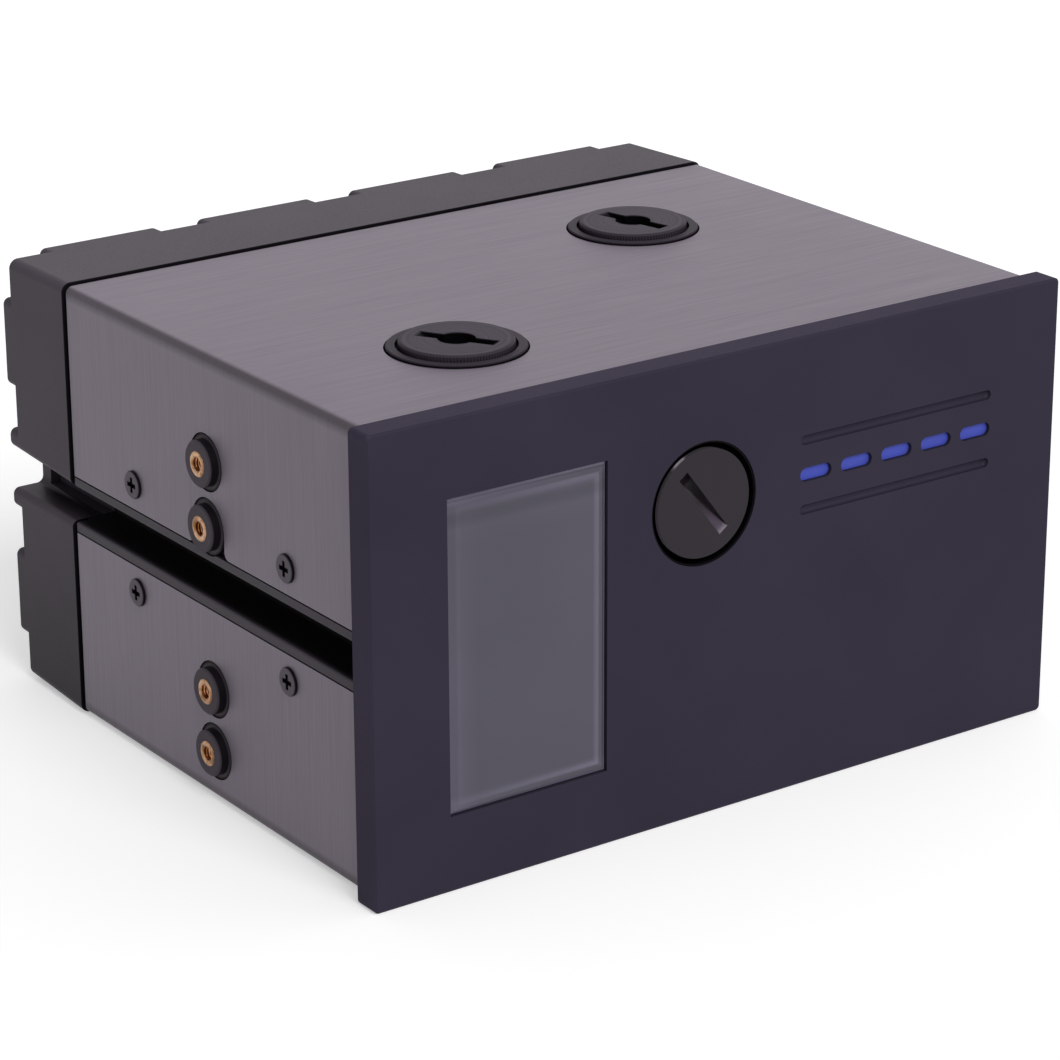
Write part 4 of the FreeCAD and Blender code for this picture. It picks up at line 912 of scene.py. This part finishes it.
def notch_cutter():
    """Blocks on both sides that cut the notches, as one mesh."""
    edge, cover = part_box("upper_cover")[0].z, cover_side()
    vertices = []
    faces = []
    for side, sign in SIDES.items():
        _, mount = bay_mounts(side)
        outline = notch_outline(mount["pos_m"][1], mount["pos_m"][2] - half_spacing(mount), edge)
        count = len(outline)
        block = tube_faces(2, count, closed=False) + [tuple(range(count)), tuple(range(count, 2 * count))]
        faces += shifted(block, len(vertices))
        for reach in (cover - NOTCH_INWARD * MM, cover + NOTCH_OUTWARD * MM):
            vertices += [(sign * reach, y, z) for y, z in outline]
    mesh = bpy.data.meshes.new("notch_cutter")
    mesh.from_pydata(vertices, [], faces)
    face_outwards(mesh)
    return bpy.data.objects.new("notch_cutter", mesh)


def cut_away(piece, cutter):
    """Takes a cutter's blocks out of a piece, and removes the cutter."""
    bpy.context.scene.collection.objects.link(cutter)
    cut = piece.modifiers.new("cut", "BOOLEAN")
    cut.operation = "DIFFERENCE"
    cut.solver = "EXACT"
    cut.object = cutter
    result = piece.evaluated_get(bpy.context.evaluated_depsgraph_get())
    mesh = bpy.data.meshes.new_from_object(result)
    piece.modifiers.clear()
    piece.data = mesh
    bpy.data.objects.remove(cutter)


def add_notched_cover():
    """The upper cover with its notches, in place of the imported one."""
    packed = NODES["upper_cover"].data
    vertices = [tuple(vertex.co) for vertex in packed.vertices]
    faces = [tuple(face.vertices) for face in packed.polygons]
    piece = add_piece("notched_upper_cover", vertices, faces, "reservoir", "brushed_cover")
    face_outwards(piece.data)
    cut_away(piece, notch_cutter())
    piece.data.polygons.foreach_set("use_smooth", [True] * len(piece.data.polygons))
    piece.data.set_sharp_from_angle(angle=math.radians(SHARP_ANGLE))
    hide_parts("upper_cover")


# Stage

def sees_background(tree):
    """1 for rays that look at the background: from the camera, in a reflection or through glass."""
    path = tree.nodes.new("ShaderNodeLightPath")
    total = path.outputs["Is Camera Ray"]
    for name in ("Is Glossy Ray", "Is Transmission Ray"):
        either = tree.nodes.new("ShaderNodeMath")
        either.operation = "MAXIMUM"
        tree.links.new(total, either.inputs[0])
        tree.links.new(path.outputs[name], either.inputs[1])
        total = either.outputs[0]
    return total


def add_floor():
    """Pale floor, which glows a little only where it is looked at."""
    half = FLOOR_SIZE / 2
    corners = [(-half, -half, 0), (half, -half, 0), (half, half, 0), (-half, half, 0)]
    mesh = bpy.data.meshes.new("floor")
    mesh.from_pydata(corners, [], [(0, 1, 2, 3)])
    floor = bpy.data.objects.new("floor", mesh)
    bpy.context.scene.collection.objects.link(floor)
    shader = Shader("pale_floor")
    shader.paint(shader.colours(shader.noise(3.0, detail=2.0), (FLOOR_DARK,) * 3, (FLOOR_PALE,) * 3))
    shader.set(Roughness=0.9, Specular_IOR_Level=0.0, Emission_Color=(*(FLOOR_LIFT,) * 3, 1))
    shader.link(sees_background(shader.tree), shader.bsdf.inputs["Emission Strength"])
    mesh.materials.append(shader.material)


def add_room():
    """Room that is white where it is looked at, and lights the object less from the left."""
    world = bpy.data.worlds.new("studio")
    bpy.context.scene.world = world
    world.use_nodes = True
    tree = world.node_tree
    tree.nodes.clear()
    output = tree.nodes.new("ShaderNodeOutputWorld")
    room, white = (tree.nodes.new("ShaderNodeBackground") for _ in range(2))
    for background in (room, white):
        background.inputs["Color"].default_value = (1, 1, 1, 1)
    direction = tree.nodes.new("ShaderNodeTexCoord")
    parts = tree.nodes.new("ShaderNodeSeparateXYZ")
    level = tree.nodes.new("ShaderNodeMapRange")
    level.inputs["From Min"].default_value = -1.0
    level.inputs["To Min"].default_value = ROOM_LEFT
    level.inputs["To Max"].default_value = ROOM_RIGHT
    tree.links.new(direction.outputs["Generated"], parts.inputs["Vector"])
    tree.links.new(parts.outputs["X"], level.inputs["Value"])
    tree.links.new(level.outputs["Result"], room.inputs["Strength"])
    mix = tree.nodes.new("ShaderNodeMixShader")
    tree.links.new(sees_background(tree), mix.inputs["Fac"])
    tree.links.new(room.outputs[0], mix.inputs[1])
    tree.links.new(white.outputs[0], mix.inputs[2])
    tree.links.new(mix.outputs[0], output.inputs["Surface"])


def add_lamp():
    """Broad lamp high in front."""
    sun = bpy.data.lights.new("key", "SUN")
    sun.energy = SUN_STRENGTH
    sun.angle = math.radians(SUN_ANGLE)
    lamp = bpy.data.objects.new("key", sun)
    lamp.rotation_euler = Vector(SUN_DIRECTION).to_track_quat("-Z", "Y").to_euler()
    bpy.context.scene.collection.objects.link(lamp)


def add_camera():
    """Camera at the photograph's place and angle."""
    camera = bpy.data.cameras.new("camera")
    camera.lens = CAMERA_LENS
    camera.sensor_width = CAMERA_SENSOR
    camera.clip_start = CAMERA_NEAR
    holder = bpy.data.objects.new("camera", camera)
    forward = Vector(CAMERA_FORWARD).normalized()
    up = Vector(CAMERA_RIGHT).cross(forward).normalized()
    right = forward.cross(up)
    turn = Matrix((right, up, -forward)).transposed().to_4x4()
    holder.matrix_world = Matrix.Translation(CAMERA_PLACE) @ turn
    bpy.context.scene.collection.objects.link(holder)
    bpy.context.scene.camera = holder


dress_nodes()
add_plug_details()
add_rear_port_threads()
add_insert_threads()
add_insert_rims()
add_screw_heads()
add_notched_cover()
add_floor()
add_room()
add_lamp()
add_camera()
bpy.context.scene.view_settings.view_transform = "Standard"
